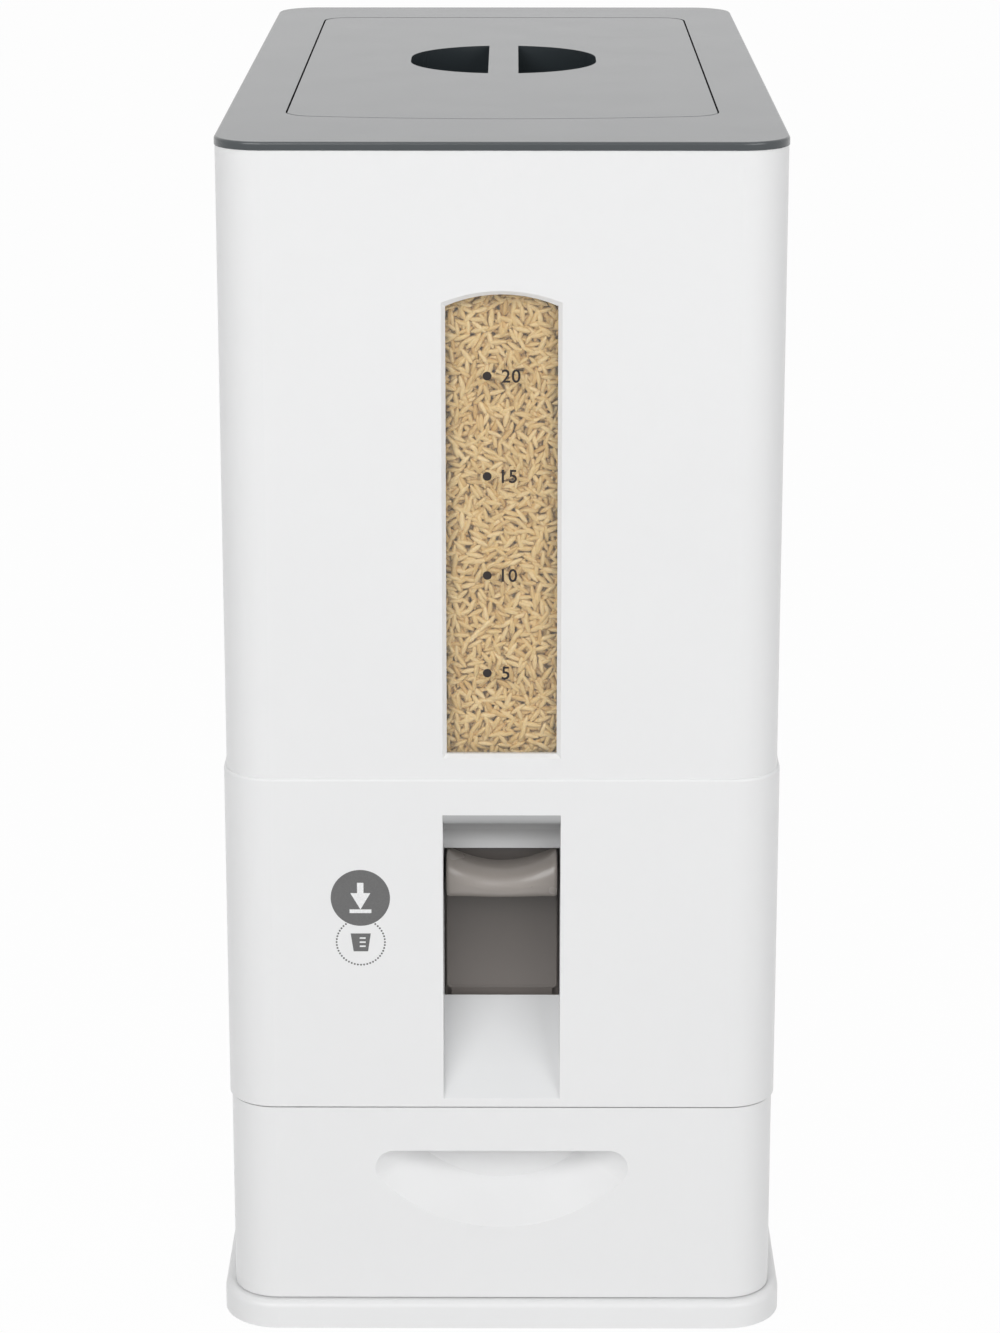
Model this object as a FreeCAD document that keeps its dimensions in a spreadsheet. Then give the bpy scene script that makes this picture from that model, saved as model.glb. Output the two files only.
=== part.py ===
import FreeCAD, Part
import math
import os
import re

import Sketcher

# A countertop rice dispenser: plinth, drawer, dispensing mechanism, hopper and lid.
# Millimetres.  X is across, the front faces -Y, Z is up, the origin is under the middle.

SIZES = {
    # casings, from the floor up
    "body_width": 203.0,
    "body_depth": 400.0,
    "body_corner": 17.0,
    "foot_drop": 0.8,
    "foot_radius": 9.0,
    "foot_height": 3.8,
    "foot_inset": 24.0,
    "plinth_height": 10.4,
    "plinth_reach": 4.1,
    "plinth_wall": 3.0,
    "plinth_round": 2.5,
    "casing_height": 78.6,
    "casing_reach": 0.2,
    "casing_wall": 2.6,
    "casing_ledge": 6.0,
    "ledge_thickness": 2.4,
    "housing_height": 128.6,
    "housing_reach": 1.0,
    "housing_wall": 2.8,
    "hopper_height": 230.6,
    "hopper_wall": 3.0,
    "tongue_height": 3.0,
    "deck_thickness": 2.5,
    "seat_gap": 0.3,
    # drawer
    "drawer_foot_gap": 0.5,
    "drawer_head_gap": 0.8,
    "face_depth": 19.0,
    "face_wall": 3.0,
    "face_lip": 2.4,
    "panel_gap": 0.5,
    "bin_side_gap": 13.0,
    "bin_back_gap": 14.0,
    "bin_top": 78.0,
    "bin_wall": 2.4,
    "bin_corner": 10.0,
    "rail_height": 1.4,
    "rail_width": 4.0,
    "rail_place": 60.0,
    "stop_reach": 4.0,
    "stop_length": 10.0,
    "scoop_half_width": 47.3,
    "scoop_top": 71.6,
    "scoop_drop": 31.0,
    "scoop_end": 7.0,
    "scoop_depth": 14.5,
    "scoop_back_half": 29.0,
    "scoop_back_drop": 17.0,
    "scoop_back_end": 4.0,
    # front recess of the housing
    "recess_half_width": 21.6,
    "recess_side_wall": 2.4,
    "recess_top": 204.6,
    "recess_depth": 23.0,
    "recess_foot": 93.0,
    "cove_slope_depth": 17.5,
    "cove_slope_drop": 9.0,
    "cove_corner_drop": 16.0,
    "slot_top": 183.7,
    "slot_foot": 125.1,
    "slot_lip": 2.6,
    "ramp_bend_depth": 7.5,
    "ramp_bend": 102.0,
    "cavity_back": 46.0,
    "cavity_top": 193.0,
    # lever and gear train
    "lever_half_width": 19.0,
    "lever_top": 190.0,
    "lever_foot": 122.5,
    "lever_thickness": 3.0,
    "lever_gap": 0.6,
    "knob_half_width": 20.6,
    "knob_top": 183.3,
    "knob_foot": 166.5,
    "knob_reach": 14.0,
    "knob_dish": 5.5,
    "guide_gap": 0.3,
    "guide_depth": 3.8,
    "guide_width": 3.8,
    "press_travel": 28.5,
    "gear_module": 1.5,
    "gear_angle": 25.0,
    "gear_addendum": 1.2,
    "gear_dedendum": 1.6,
    "gear_backlash": 0.3,
    "lever_teeth": 12,
    "shuttle_teeth": 16,
    "gear_width": 8.0,
    "lever_gear_start": 9.5,
    "shuttle_gear_start": 27.0,
    "rack_line_depth": 43.0,
    "shaft_height": 130.0,
    "shaft_radius": 3.0,
    "shaft_overhang": 3.4,
    "shaft_gap": 0.05,
    "bush_radius": 4.5,
    "bush_flange": 6.2,
    "clip_radius": 5.0,
    "clip_thickness": 0.8,
    "rack_bar_height": 8.4,
    "spring_depth": 35.3,
    "spring_radius": 4.4,
    "spring_wire": 1.2,
    "spring_turns": 9,
    "spring_seat": 163.0,
    "post_radius": 2.8,
    "post_height": 14.0,
    # meter
    "chamber_width": 100.0,
    "chamber_length": 36.0,
    "chamber_height": 50.4,
    "chamber_front": -60.0,
    "shuttle_wall": 2.0,
    "blade_thickness": 2.0,
    "outlet_gap": 2.0,
    "case_wall": 2.4,
    "case_top": 2.7,
    "case_foot": 7.2,
    "case_front_room": 2.0,
    "case_back_room": 4.0,
    "spout_drop": 6.5,
    "spout_wall": 2.0,
    "spout_flange": 3.5,
    # funnel
    "funnel_wall": 2.4,
    "funnel_front_rise": 1.2,
    "funnel_back_rise": 49.6,
    "funnel_side_rise": 3.6,
    "funnel_corner": 14.0,
    "throat_height": 3.8,
    # window
    "window_half_width": 20.0,
    "window_rise": 9.1,
    "window_height": 166.0,
    "window_arch": 4.2,
    "window_bevel": 1.5,
    "pane_flange": 5.0,
    "pane_thickness": 2.0,
    "pane_setback": 1.6,
    "pane_gap": 0.25,
    "gasket_thickness": 0.8,
    # lid and hatch
    "lid_thickness": 3.0,
    "lid_reach": 0.25,
    "lid_round": 1.0,
    "plug_height": 14.0,
    "plug_gap": 0.6,
    "plug_wall": 3.4,
    "groove_drop": 8.0,
    "seal_height": 3.2,
    "seal_depth": 1.6,
    "seal_gap": 0.08,
    "hatch_half_width": 79.2,
    "hatch_front": -145.0,
    "hatch_back": 161.0,
    "hatch_bulge": 8.0,
    "hatch_corner": 11.0,
    "hatch_gap": 0.5,
    "hatch_ledge": 4.5,
    "hatch_rib_height": 7.0,
    "hatch_rib_wall": 2.2,
    "well_half_width": 37.6,
    "well_half_length": 43.0,
    "well_middle": 20.0,
    "well_flat": 0.5,
    "well_depth": 24.0,
    "well_wall": 2.2,
    "grip_bar_width": 12.0,
    # fasteners
    "screw_radius": 1.3,
    "screw_head_radius": 2.8,
    "screw_head_height": 1.6,
    "screw_length": 9.0,
    "screw_gap": 0.1,
    "boss_radius": 4.2,
    "boss_height": 14.0,
    "post_front_inset": 70.0,
    "post_back_inset": 11.5,
    "post_inset": 4.2,
    "housing_boss_inset": 9.0,
    "housing_boss_end": 50.0,
    "face_screw_inset": 17.5,
    "face_screw_low": 28.0,
    "face_screw_high": 60.0,
}

# heights and half sizes that follow from the cells above
PLINTH_TOP = "(foot_drop + plinth_height)"
CASING_TOP = "(foot_drop + plinth_height + casing_height)"
DECK_TOP = "(foot_drop + plinth_height + casing_height + deck_thickness)"
HOUSING_TOP = "(foot_drop + plinth_height + casing_height + housing_height)"
HOPPER_TOP = "(foot_drop + plinth_height + casing_height + housing_height + hopper_height)"
LID_TOP = "(foot_drop + plinth_height + casing_height + housing_height + hopper_height + lid_thickness)"
HOUSING_FRONT = "(body_depth / 2 + housing_reach)"
CASING_X = "(body_width / 2 + casing_reach)"
CASING_Y = "(body_depth / 2 + casing_reach)"
HOPPER_X = "(body_width / 2 - hopper_wall)"
HOPPER_Y = "(body_depth / 2 - hopper_wall)"
HOUSING_X = "(body_width / 2 + housing_reach - housing_wall)"
HOUSING_Y = "(body_depth / 2 + housing_reach - housing_wall)"
SLOT_PLANE = f"(-{HOUSING_FRONT} + recess_depth)"
LEVER_FRONT = f"(-{HOUSING_FRONT} + recess_depth + slot_lip + lever_gap)"
LEVER_BACK = f"({LEVER_FRONT} + lever_thickness)"
RACK_LINE = f"(-{HOUSING_FRONT} + rack_line_depth)"
PITCH = "(gear_module * pi)"
LEVER_PITCH = "(gear_module * lever_teeth / 2)"
SHUTTLE_PITCH = "(gear_module * shuttle_teeth / 2)"
SHAFT_Y = f"({RACK_LINE} + {LEVER_PITCH})"
SHUTTLE_LINE = f"(shaft_height - {SHUTTLE_PITCH})"
SHUTTLE_TRAVEL = "(press_travel * shuttle_teeth / lever_teeth)"
CHAMBER_BACK = "(chamber_front + chamber_length)"
SHUTTLE_FOOT = f"({DECK_TOP} + seat_gap)"
SHUTTLE_TOP = f"({SHUTTLE_FOOT} + chamber_height)"
CASE_UNDER = f"({SHUTTLE_TOP} + seat_gap)"
CASE_TOP = f"({CASE_UNDER} + case_top)"
CASE_INNER = "(chamber_width / 2 + shuttle_wall + seat_gap)"
BIN_FOOT = f"({PLINTH_TOP} + rail_height + seat_gap)"
FACE_BACK = f"(-{CASING_Y} + face_depth)"
POST_X = f"({CASING_X} - casing_wall - post_inset)"
BOSS_Y = "(body_depth / 2 - housing_boss_end)"
POST_FRONT = "(post_front_inset - body_depth / 2)"
POST_BACK = "(body_depth / 2 - post_back_inset)"
BIN_X = "(body_width / 2 - bin_side_gap)"
BIN_BACK = "(body_depth / 2 - bin_back_gap)"
FUNNEL_FRONT = f"({HOUSING_TOP} + funnel_front_rise)"
FUNNEL_BACK = f"({HOUSING_TOP} + funnel_back_rise)"
FUNNEL_SIDE = f"({HOUSING_TOP} + funnel_side_rise)"
WINDOW_FOOT = f"({HOUSING_TOP} + window_rise)"
WINDOW_TOP = f"({WINDOW_FOOT} + window_height)"
SCREW_BORE = "(screw_radius + screw_gap)"

document = FreeCAD.newDocument("rice_dispenser")
sheet = document.addObject("Spreadsheet::Sheet", "sizes")
for row, (alias, value) in enumerate(SIZES.items(), start=1):
    sheet.set(f"A{row}", alias)
    sheet.set(f"B{row}", str(value))
    sheet.setAlias(f"B{row}", alias)
document.recompute()
pieces = []


def bound(text):
    """An expression whose size names point at their cells in the sheet."""
    return re.sub(r"[a-z][a-z_]*", lambda word: f"sizes.{word[0]}" if word[0] in SIZES else word[0], text)


def number(text):
    """The present value of an expression in size names."""
    return float(sheet.evalExpression(text))


def make_body(label):
    body = document.addObject("PartDesign::Body", label)
    body.Label = label
    pieces.append(body)
    return body


def sketch_on(body, name, role, offset="0"):
    """A sketch on one of the body's own origin planes, moved along the plane's normal."""
    sketch = body.newObject("Sketcher::SketchObject", f"{body.Name}_{name}")
    plane = next(feature for feature in body.Origin.OriginFeatures if feature.Role == role)
    sketch.AttachmentSupport = (plane, [""])
    sketch.MapMode = "FlatFace"
    sketch.setExpression("AttachmentOffset.Base.z", bound(offset))
    return sketch


def dimension(sketch, kind, *arguments):
    """Add a driving constraint whose last argument is an expression."""
    *places, text = arguments
    index = sketch.addConstraint(Sketcher.Constraint(kind, *places, number(text)))
    sketch.setExpression(f"Constraints[{index}]", bound(text))


def pin(sketch, geometry, end, across, along):
    """Hold a point of the sketch at a place given by two expressions."""
    dimension(sketch, "DistanceX", -1, 1, geometry, end, across)
    dimension(sketch, "DistanceY", -1, 1, geometry, end, along)


def draw_polygon(sketch, corners):
    spots = [FreeCAD.Vector(number(across), number(along), 0) for across, along in corners]
    first = sketch.GeometryCount
    count = len(spots)
    for index in range(count):
        sketch.addGeometry(Part.LineSegment(spots[index], spots[(index + 1) % count]))
    for index in range(count):
        following = first + (index + 1) % count
        sketch.addConstraint(Sketcher.Constraint("Coincident", first + index, 2, following, 1))
    for index, (across, along) in enumerate(corners):
        pin(sketch, first + index, 1, across, along)


def draw_box(sketch, left, right, low, high):
    draw_polygon(sketch, [(left, low), (right, low), (right, high), (left, high)])


def draw_circle(sketch, across, along, radius):
    middle = FreeCAD.Vector(number(across), number(along), 0)
    index = sketch.addGeometry(Part.Circle(middle, FreeCAD.Vector(0, 0, 1), number(radius)))
    dimension(sketch, "Radius", index, radius)
    pin(sketch, index, 3, across, along)


def draw_rounded(sketch, left, right, low, high, radius):
    """A rectangle with four equal round corners."""
    x0, x1, y0, y1, r = (number(text) for text in (left, right, low, high, radius))
    middles = [(x1 - r, y0 + r), (x1 - r, y1 - r), (x0 + r, y1 - r), (x0 + r, y0 + r)]
    names = [(right, low, -1, 1), (right, high, -1, -1), (left, high, 1, -1), (left, low, 1, 1)]
    up = FreeCAD.Vector(0, 0, 1)
    first = sketch.GeometryCount
    for turn, (x, y) in enumerate(middles):
        start = (turn - 1) * math.pi / 2
        circle = Part.Circle(FreeCAD.Vector(x, y, 0), up, r)
        sketch.addGeometry(Part.ArcOfCircle(circle, start, start + math.pi / 2))
        x_next, y_next = middles[(turn + 1) % 4]
        away = FreeCAD.Vector(math.cos(start + math.pi / 2), math.sin(start + math.pi / 2), 0) * r
        line = (FreeCAD.Vector(x, y, 0) + away, FreeCAD.Vector(x_next, y_next, 0) + away)
        sketch.addGeometry(Part.LineSegment(*line))
    for index in range(8):
        following = first + (index + 1) % 8
        sketch.addConstraint(Sketcher.Constraint("Tangent", first + index, 2, following, 1))
    for index in (2, 4, 6):
        sketch.addConstraint(Sketcher.Constraint("Equal", first, first + index))
    dimension(sketch, "Radius", first, radius)
    x_name, y_name, x_way, y_way = names[0]
    pin(sketch, first, 3, f"{x_name} + {x_way} * {radius}", f"{y_name} + {y_way} * {radius}")
    x_name, y_name, x_way, y_way = names[2]
    pin(sketch, first + 4, 3, f"{x_name} + {x_way} * {radius}", f"{y_name} + {y_way} * {radius}")
    for index, way in ((1, "Vertical"), (3, "Horizontal"), (5, "Vertical"), (7, "Horizontal")):
        sketch.addConstraint(Sketcher.Constraint(way, first + index))


def draw_frame(sketch, half_x, half_y, radius):
    """A rounded rectangle about the origin."""
    draw_rounded(sketch, f"-{half_x}", half_x, f"-{half_y}", half_y, radius)


def add_feature(kind, body, sketch, name, length, both_ways=False, backwards=False):
    feature = body.newObject(kind, f"{body.Name}_{name}")
    feature.Profile = sketch
    feature.setExpression("Length", bound(length))
    feature.SideType = "Symmetric" if both_ways else "One side"
    feature.Reversed = backwards
    sketch.Visibility = False
    return feature


def add_pad(body, sketch, name, length, **ways):
    return add_feature("PartDesign::Pad", body, sketch, name, length, **ways)


def add_pocket(body, sketch, name, length, both_ways=False, forwards=True):
    """A cut that runs along the sketch plane's normal, or against it."""
    pocket = add_feature("PartDesign::Pocket", body, sketch, name, length, both_ways, forwards)
    document.recompute()
    if not pocket.Shape.Volume < pocket.BaseFeature.Shape.Volume - 0.01:
        raise ValueError(f"{pocket.Name} cuts nothing")
    return pocket


def round_edges(body, name, radius, chosen, kind="PartDesign::Fillet"):
    """A fillet, or a chamfer, on the edges of the body's latest feature that chosen picks."""
    document.recompute()
    base = body.Tip
    edges = [f"Edge{index}" for index, edge in enumerate(base.Shape.Edges, start=1) if chosen(edge)]
    feature = body.newObject(kind, f"{body.Name}_{name}")
    feature.Base = (base, edges)
    feature.setExpression("Size" if kind.endswith("Chamfer") else "Radius", bound(radius))
    return feature


def lies_at(edge, axis, place):
    """Whether a whole edge lies in the plane across an axis at a place."""
    low = getattr(edge.BoundBox, f"{axis}Min")
    high = getattr(edge.BoundBox, f"{axis}Max")
    return abs(low - place) < 1e-4 and abs(high - place) < 1e-4


def make_ring(body, name, z, height, outer, inner):
    """A rounded ring: outer and inner are (half x, half y, corner radius)."""
    outline = sketch_on(body, f"{name}_outline", "XY_Plane", z)
    draw_frame(outline, *outer)
    draw_frame(outline, *inner)
    return add_pad(body, outline, name, height)


def make_box(name, left, right, front, back, low, high):
    """A Part box between three pairs of expressions."""
    box = document.addObject("Part::Box", name)
    sides = (("Length", "x", left, right), ("Width", "y", front, back), ("Height", "z", low, high))
    for length, axis, start, end in sides:
        box.setExpression(length, bound(f"({end}) - ({start})"))
        box.setExpression(f"Placement.Base.{axis}", bound(start))
    return box


def make_cylinder(name, radius, height, x, y, z, rotation=None):
    """A Part cylinder that stands on a point given by three expressions."""
    cylinder = document.addObject("Part::Cylinder", name)
    if rotation is not None:
        cylinder.Placement = FreeCAD.Placement(FreeCAD.Vector(), rotation)
    cylinder.setExpression("Radius", bound(radius))
    cylinder.setExpression("Height", bound(height))
    for axis, place in (("x", x), ("y", y), ("z", z)):
        cylinder.setExpression(f"Placement.Base.{axis}", bound(place))
    return cylinder


def combine(kind, label, shapes, keep=True):
    """A MultiFuse or a Compound of several objects."""
    result = document.addObject(kind, label)
    if kind == "Part::Compound":
        result.Links = shapes
    else:
        result.Shapes = shapes
    if keep:
        pieces.append(result)
    return result


def cut(label, base, tool, keep=True):
    result = document.addObject("Part::Cut", label)
    result.Base = base
    result.Tool = tool
    if keep:
        pieces.append(result)
    return result


ALONG_X = FreeCAD.Rotation(FreeCAD.Vector(0, 1, 0), 90)
UPWARD = FreeCAD.Rotation()
DOWNWARD = FreeCAD.Rotation(FreeCAD.Vector(1, 0, 0), 180)


def make_screws(label, places, rotation, length="screw_length"):
    """Like screws, each with its head seated at a point and its shank along the rotated Z."""
    screws = []
    for index, (x, y, z) in enumerate(places):
        shank = make_cylinder(f"{label}_shank_{index}", "screw_radius", length, x, y, z, rotation)
        turned = rotation * FreeCAD.Rotation(FreeCAD.Vector(1, 0, 0), 180)
        head = make_cylinder(
            f"{label}_head_{index}", "screw_head_radius", "screw_head_height", x, y, z, turned
        )
        screws.append(combine("Part::MultiFuse", f"{label}_screw_{index}", [head, shank], keep=False))
    return combine("Part::Compound", label, screws)


def four_corners(x, y_front, y_back):
    return [(f"{side} * ({x})", y) for side in (-1, 1) for y in (y_front, y_back)]


def foot_places():
    x = "(body_width / 2 - foot_inset)"
    y = "(body_depth / 2 - foot_inset)"
    return four_corners(x, f"-{y}", y)


def casing_post_places():
    return four_corners(POST_X, POST_FRONT, POST_BACK)


def housing_boss_places():
    return four_corners(f"{HOUSING_X} - housing_boss_inset", f"-{BOSS_Y}", BOSS_Y)


def make_plinth():
    body = make_body("base_plinth")
    half_x = "(body_width / 2 + plinth_reach)"
    half_y = "(body_depth / 2 + plinth_reach)"
    outer = (half_x, half_y, "(body_corner + plinth_reach)")
    inner_corner = "(body_corner + plinth_reach - plinth_wall)"
    inner = (f"({half_x} - plinth_wall)", f"({half_y} - plinth_wall)", inner_corner)
    outline = sketch_on(body, "outline", "XY_Plane", "foot_drop")
    draw_frame(outline, *outer)
    add_pad(body, outline, "slab", "plinth_height")
    top = number(PLINTH_TOP)
    round_edges(body, "shoulder", "plinth_round", lambda edge: lies_at(edge, "Z", top))
    underside = sketch_on(body, "underside", "XY_Plane", "foot_drop")
    draw_frame(underside, *inner)
    add_pocket(body, underside, "hollow", "plinth_height - plinth_wall")
    sockets = sketch_on(body, "sockets", "XY_Plane", "foot_drop")
    for x, y in foot_places():
        draw_circle(sockets, x, y, "foot_radius + plinth_wall")
    for x, y in casing_post_places():
        draw_circle(sockets, x, y, "boss_radius + screw_gap")
    add_pad(body, sockets, "bosses", "plinth_height - plinth_wall / 2")
    seats = sketch_on(body, "seats", "XY_Plane", "0")
    for x, y in foot_places():
        draw_circle(seats, x, y, "foot_radius + screw_gap")
    add_pocket(body, seats, "foot_seats", "foot_height")
    bores = sketch_on(body, "bores", "XY_Plane", "0")
    for x, y in casing_post_places():
        draw_circle(bores, x, y, SCREW_BORE)
    add_pocket(body, bores, "screw_bores", PLINTH_TOP)
    sinks = sketch_on(body, "sinks", "XY_Plane", "0")
    for x, y in casing_post_places():
        draw_circle(sinks, x, y, "screw_head_radius + screw_gap")
    add_pocket(body, sinks, "head_sinks", "foot_drop + screw_head_height + seat_gap")
    rails = sketch_on(body, "rails", "XY_Plane", PLINTH_TOP)
    for side in (-1, 1):
        middle = f"{side} * rail_place"
        draw_box(rails, f"{middle} - rail_width / 2", f"{middle} + rail_width / 2", FACE_BACK, BIN_BACK)
    add_pad(body, rails, "drawer_rails", "rail_height")
    return body


def make_feet():
    feet = []
    for index, (x, y) in enumerate(foot_places()):
        feet.append(make_cylinder(f"foot_{index}", "foot_radius", "foot_height", x, y, "0"))
    return combine("Part::Compound", "rubber_feet", feet)


def make_lower_casing():
    body = make_body("lower_casing")
    outer = (CASING_X, CASING_Y, "(body_corner + casing_reach)")
    inner = (
        f"({CASING_X} - casing_wall)",
        f"({CASING_Y} - casing_wall)",
        "(body_corner + casing_reach - casing_wall)",
    )
    ledge = (f"({CASING_X} - casing_ledge)", f"({CASING_Y} - casing_ledge)", "(body_corner - casing_ledge)")
    make_ring(body, "walls", PLINTH_TOP, "casing_height", outer, inner)
    make_ring(body, "ledge", f"{CASING_TOP} - ledge_thickness", "ledge_thickness", outer, ledge)
    mouth = sketch_on(body, "mouth", "XY_Plane", PLINTH_TOP)
    draw_box(mouth, f"-{CASING_X} - 1", f"{CASING_X} + 1", f"-{CASING_Y} - 1", f"{FACE_BACK} + panel_gap")
    add_pocket(body, mouth, "drawer_mouth", "casing_height")
    lintel = sketch_on(body, "lintel", "XY_Plane", f"{CASING_TOP} - ledge_thickness")
    draw_box(
        lintel,
        f"-{CASING_X}",
        CASING_X,
        f"{FACE_BACK} + panel_gap",
        f"{FACE_BACK} + panel_gap + casing_ledge",
    )
    add_pad(body, lintel, "front_beam", "ledge_thickness")
    posts = sketch_on(body, "posts", "XY_Plane", PLINTH_TOP)
    for x, y in casing_post_places():
        draw_circle(posts, x, y, "boss_radius")
    add_pad(body, posts, "screw_posts", "casing_height")
    webs = sketch_on(body, "webs", "XY_Plane", PLINTH_TOP)
    for side in (-1, 1):
        for y in (POST_FRONT, POST_BACK):
            near = f"{side} * ({POST_X} + boss_radius - post_inset)"
            far = f"{side} * ({CASING_X} - casing_wall / 2)"
            ends = (near, far) if side > 0 else (far, near)
            draw_box(webs, *ends, f"{y} - casing_wall / 2", f"{y} + casing_wall / 2")
    add_pad(body, webs, "post_webs", "casing_height")
    bores = sketch_on(body, "bores", "XY_Plane", PLINTH_TOP)
    for x, y in casing_post_places():
        draw_circle(bores, x, y, SCREW_BORE)
    add_pocket(body, bores, "post_bores", "casing_height")
    return body


def draw_scoop(sketch, half, top, drop, end):
    """A smile: a straight top, two round ends and one arc below, all tangent."""
    a, z, d, r = (number(text) for text in (half, top, drop, end))
    reach = ((a - r) ** 2 + r**2 - (d - r) ** 2) / (2 * (d - 2 * r)) + d
    reach_text = f"((({half}) - ({end})) ^ 2 + ({end}) ^ 2 - (({drop}) - ({end})) ^ 2)"
    reach_text += f" / (2 * (({drop}) - 2 * ({end}))) + ({drop})"
    up = FreeCAD.Vector(0, 0, 1)
    low = FreeCAD.Vector(0, z - d + reach, 0)
    left = FreeCAD.Vector(r - a, z - r, 0)
    right = FreeCAD.Vector(a - r, z - r, 0)
    lean = math.atan2(right.y - low.y, right.x)
    top_line = Part.LineSegment(FreeCAD.Vector(a - r, z, 0), FreeCAD.Vector(r - a, z, 0))
    left_end = Part.ArcOfCircle(Part.Circle(left, up, r), math.pi / 2, math.pi - lean)
    belly = Part.ArcOfCircle(Part.Circle(low, up, reach), math.pi - lean, 2 * math.pi + lean)
    right_end = Part.ArcOfCircle(Part.Circle(right, up, r), lean, math.pi / 2)
    for shape in (top_line, left_end, belly, right_end):
        sketch.addGeometry(shape)
    for index in range(4):
        sketch.addConstraint(Sketcher.Constraint("Tangent", index, 2, (index + 1) % 4, 1))
    sketch.addConstraint(Sketcher.Constraint("Equal", 1, 3))
    sketch.addConstraint(Sketcher.Constraint("Horizontal", 0))
    dimension(sketch, "Radius", 1, end)
    dimension(sketch, "Radius", 2, reach_text)
    pin(sketch, 3, 3, f"({half}) - ({end})", f"({top}) - ({end})")
    dimension(sketch, "DistanceX", -1, 1, 1, 3, f"({end}) - ({half})")


def make_drawer_front():
    body = make_body("drawer_front")
    low = f"({PLINTH_TOP} + drawer_foot_gap)"
    high = f"({CASING_TOP} - drawer_head_gap)"
    outline = sketch_on(body, "outline", "XY_Plane", low)
    draw_frame(outline, CASING_X, CASING_Y, "(body_corner + casing_reach)")
    add_pad(body, outline, "block", f"{high} - {low}")
    behind = sketch_on(body, "behind", "XY_Plane", low)
    draw_box(behind, f"-{CASING_X} - 1", f"{CASING_X} + 1", FACE_BACK, f"{CASING_Y} + 1")
    add_pocket(body, behind, "face_only", f"{high} - {low}")
    inside = sketch_on(body, "inside", "XY_Plane", f"{low} + face_lip")
    draw_rounded(
        inside,
        f"-({CASING_X} - face_wall)",
        f"{CASING_X} - face_wall",
        f"-({CASING_Y} - face_wall)",
        f"{CASING_Y}",
        "(body_corner + casing_reach - face_wall)",
    )
    add_pocket(body, inside, "hollow", f"{high} - {low} - 2 * face_lip")
    pod = sketch_on(body, "pod", "XZ_Plane", f"-{FACE_BACK}")
    pod_half = "(scoop_half_width + face_wall)"
    draw_box(pod, f"-{pod_half}", pod_half, "scoop_top - scoop_drop - face_wall", "scoop_top + face_wall")
    for x, z in face_screw_places():
        draw_circle(pod, x, z, "boss_radius")
    add_pad(body, pod, "scoop_pod", "face_depth - face_wall / 2")
    front = sketch_on(body, "scoop_mouth", "XZ_Plane", CASING_Y)
    draw_scoop(front, "scoop_half_width", "scoop_top", "scoop_drop", "scoop_end")
    back = sketch_on(body, "scoop_back", "XZ_Plane", f"{CASING_Y} - scoop_depth")
    draw_scoop(back, "scoop_back_half", "scoop_top", "scoop_back_drop", "scoop_back_end")
    scoop = body.newObject("PartDesign::SubtractiveLoft", "drawer_front_scoop")
    scoop.Profile = front
    scoop.Sections = [back]
    scoop.Ruled = True
    bores = sketch_on(body, "bores", "XZ_Plane", f"-{FACE_BACK}")
    for x, z in face_screw_places():
        draw_circle(bores, x, z, SCREW_BORE)
    add_pocket(body, bores, "screw_bores", "screw_length")
    return body


def face_screw_places():
    x = f"({BIN_X} - face_screw_inset)"
    return [(f"{side} * {x}", z) for side in (-1, 1) for z in ("face_screw_low", "face_screw_high")]


def make_drawer_bin():
    body = make_body("drawer_bin")
    outline = sketch_on(body, "outline", "XY_Plane", BIN_FOOT)
    draw_rounded(outline, f"-{BIN_X}", BIN_X, FACE_BACK, BIN_BACK, "bin_corner")
    add_pad(body, outline, "block", f"bin_top - {BIN_FOOT}")
    hollow = sketch_on(body, "hollow", "XY_Plane", f"{BIN_FOOT} + bin_wall")
    inner_x = f"({BIN_X} - bin_wall)"
    inner_front = f"({FACE_BACK} + bin_wall)"
    inner_back = f"({BIN_BACK} - bin_wall)"
    draw_rounded(hollow, f"-{inner_x}", inner_x, inner_front, inner_back, "(bin_corner - bin_wall)")
    add_pocket(body, hollow, "inside", f"bin_top - {BIN_FOOT}")
    floor = number(f"{BIN_FOOT} + bin_wall")
    round_edges(body, "floor_fillet", "bin_wall", lambda edge: lies_at(edge, "Z", floor))
    stops = sketch_on(body, "stops", "XY_Plane", BIN_FOOT)
    stop_back = f"({BIN_BACK} - bin_corner)"
    stop_front = f"({stop_back} - stop_length)"
    root = f"({BIN_X} - bin_wall / 2)"
    tip = f"({BIN_X} + stop_reach)"
    draw_box(stops, f"-{tip}", f"-{root}", stop_front, stop_back)
    draw_box(stops, root, tip, stop_front, stop_back)
    add_pad(body, stops, "drawer_stops", f"bin_top - {BIN_FOOT}")
    bores = sketch_on(body, "bores", "XZ_Plane", f"-{FACE_BACK}")
    for x, z in face_screw_places():
        draw_circle(bores, x, z, SCREW_BORE)
    add_pocket(body, bores, "screw_bores", "bin_wall", forwards=False)
    return body


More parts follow.
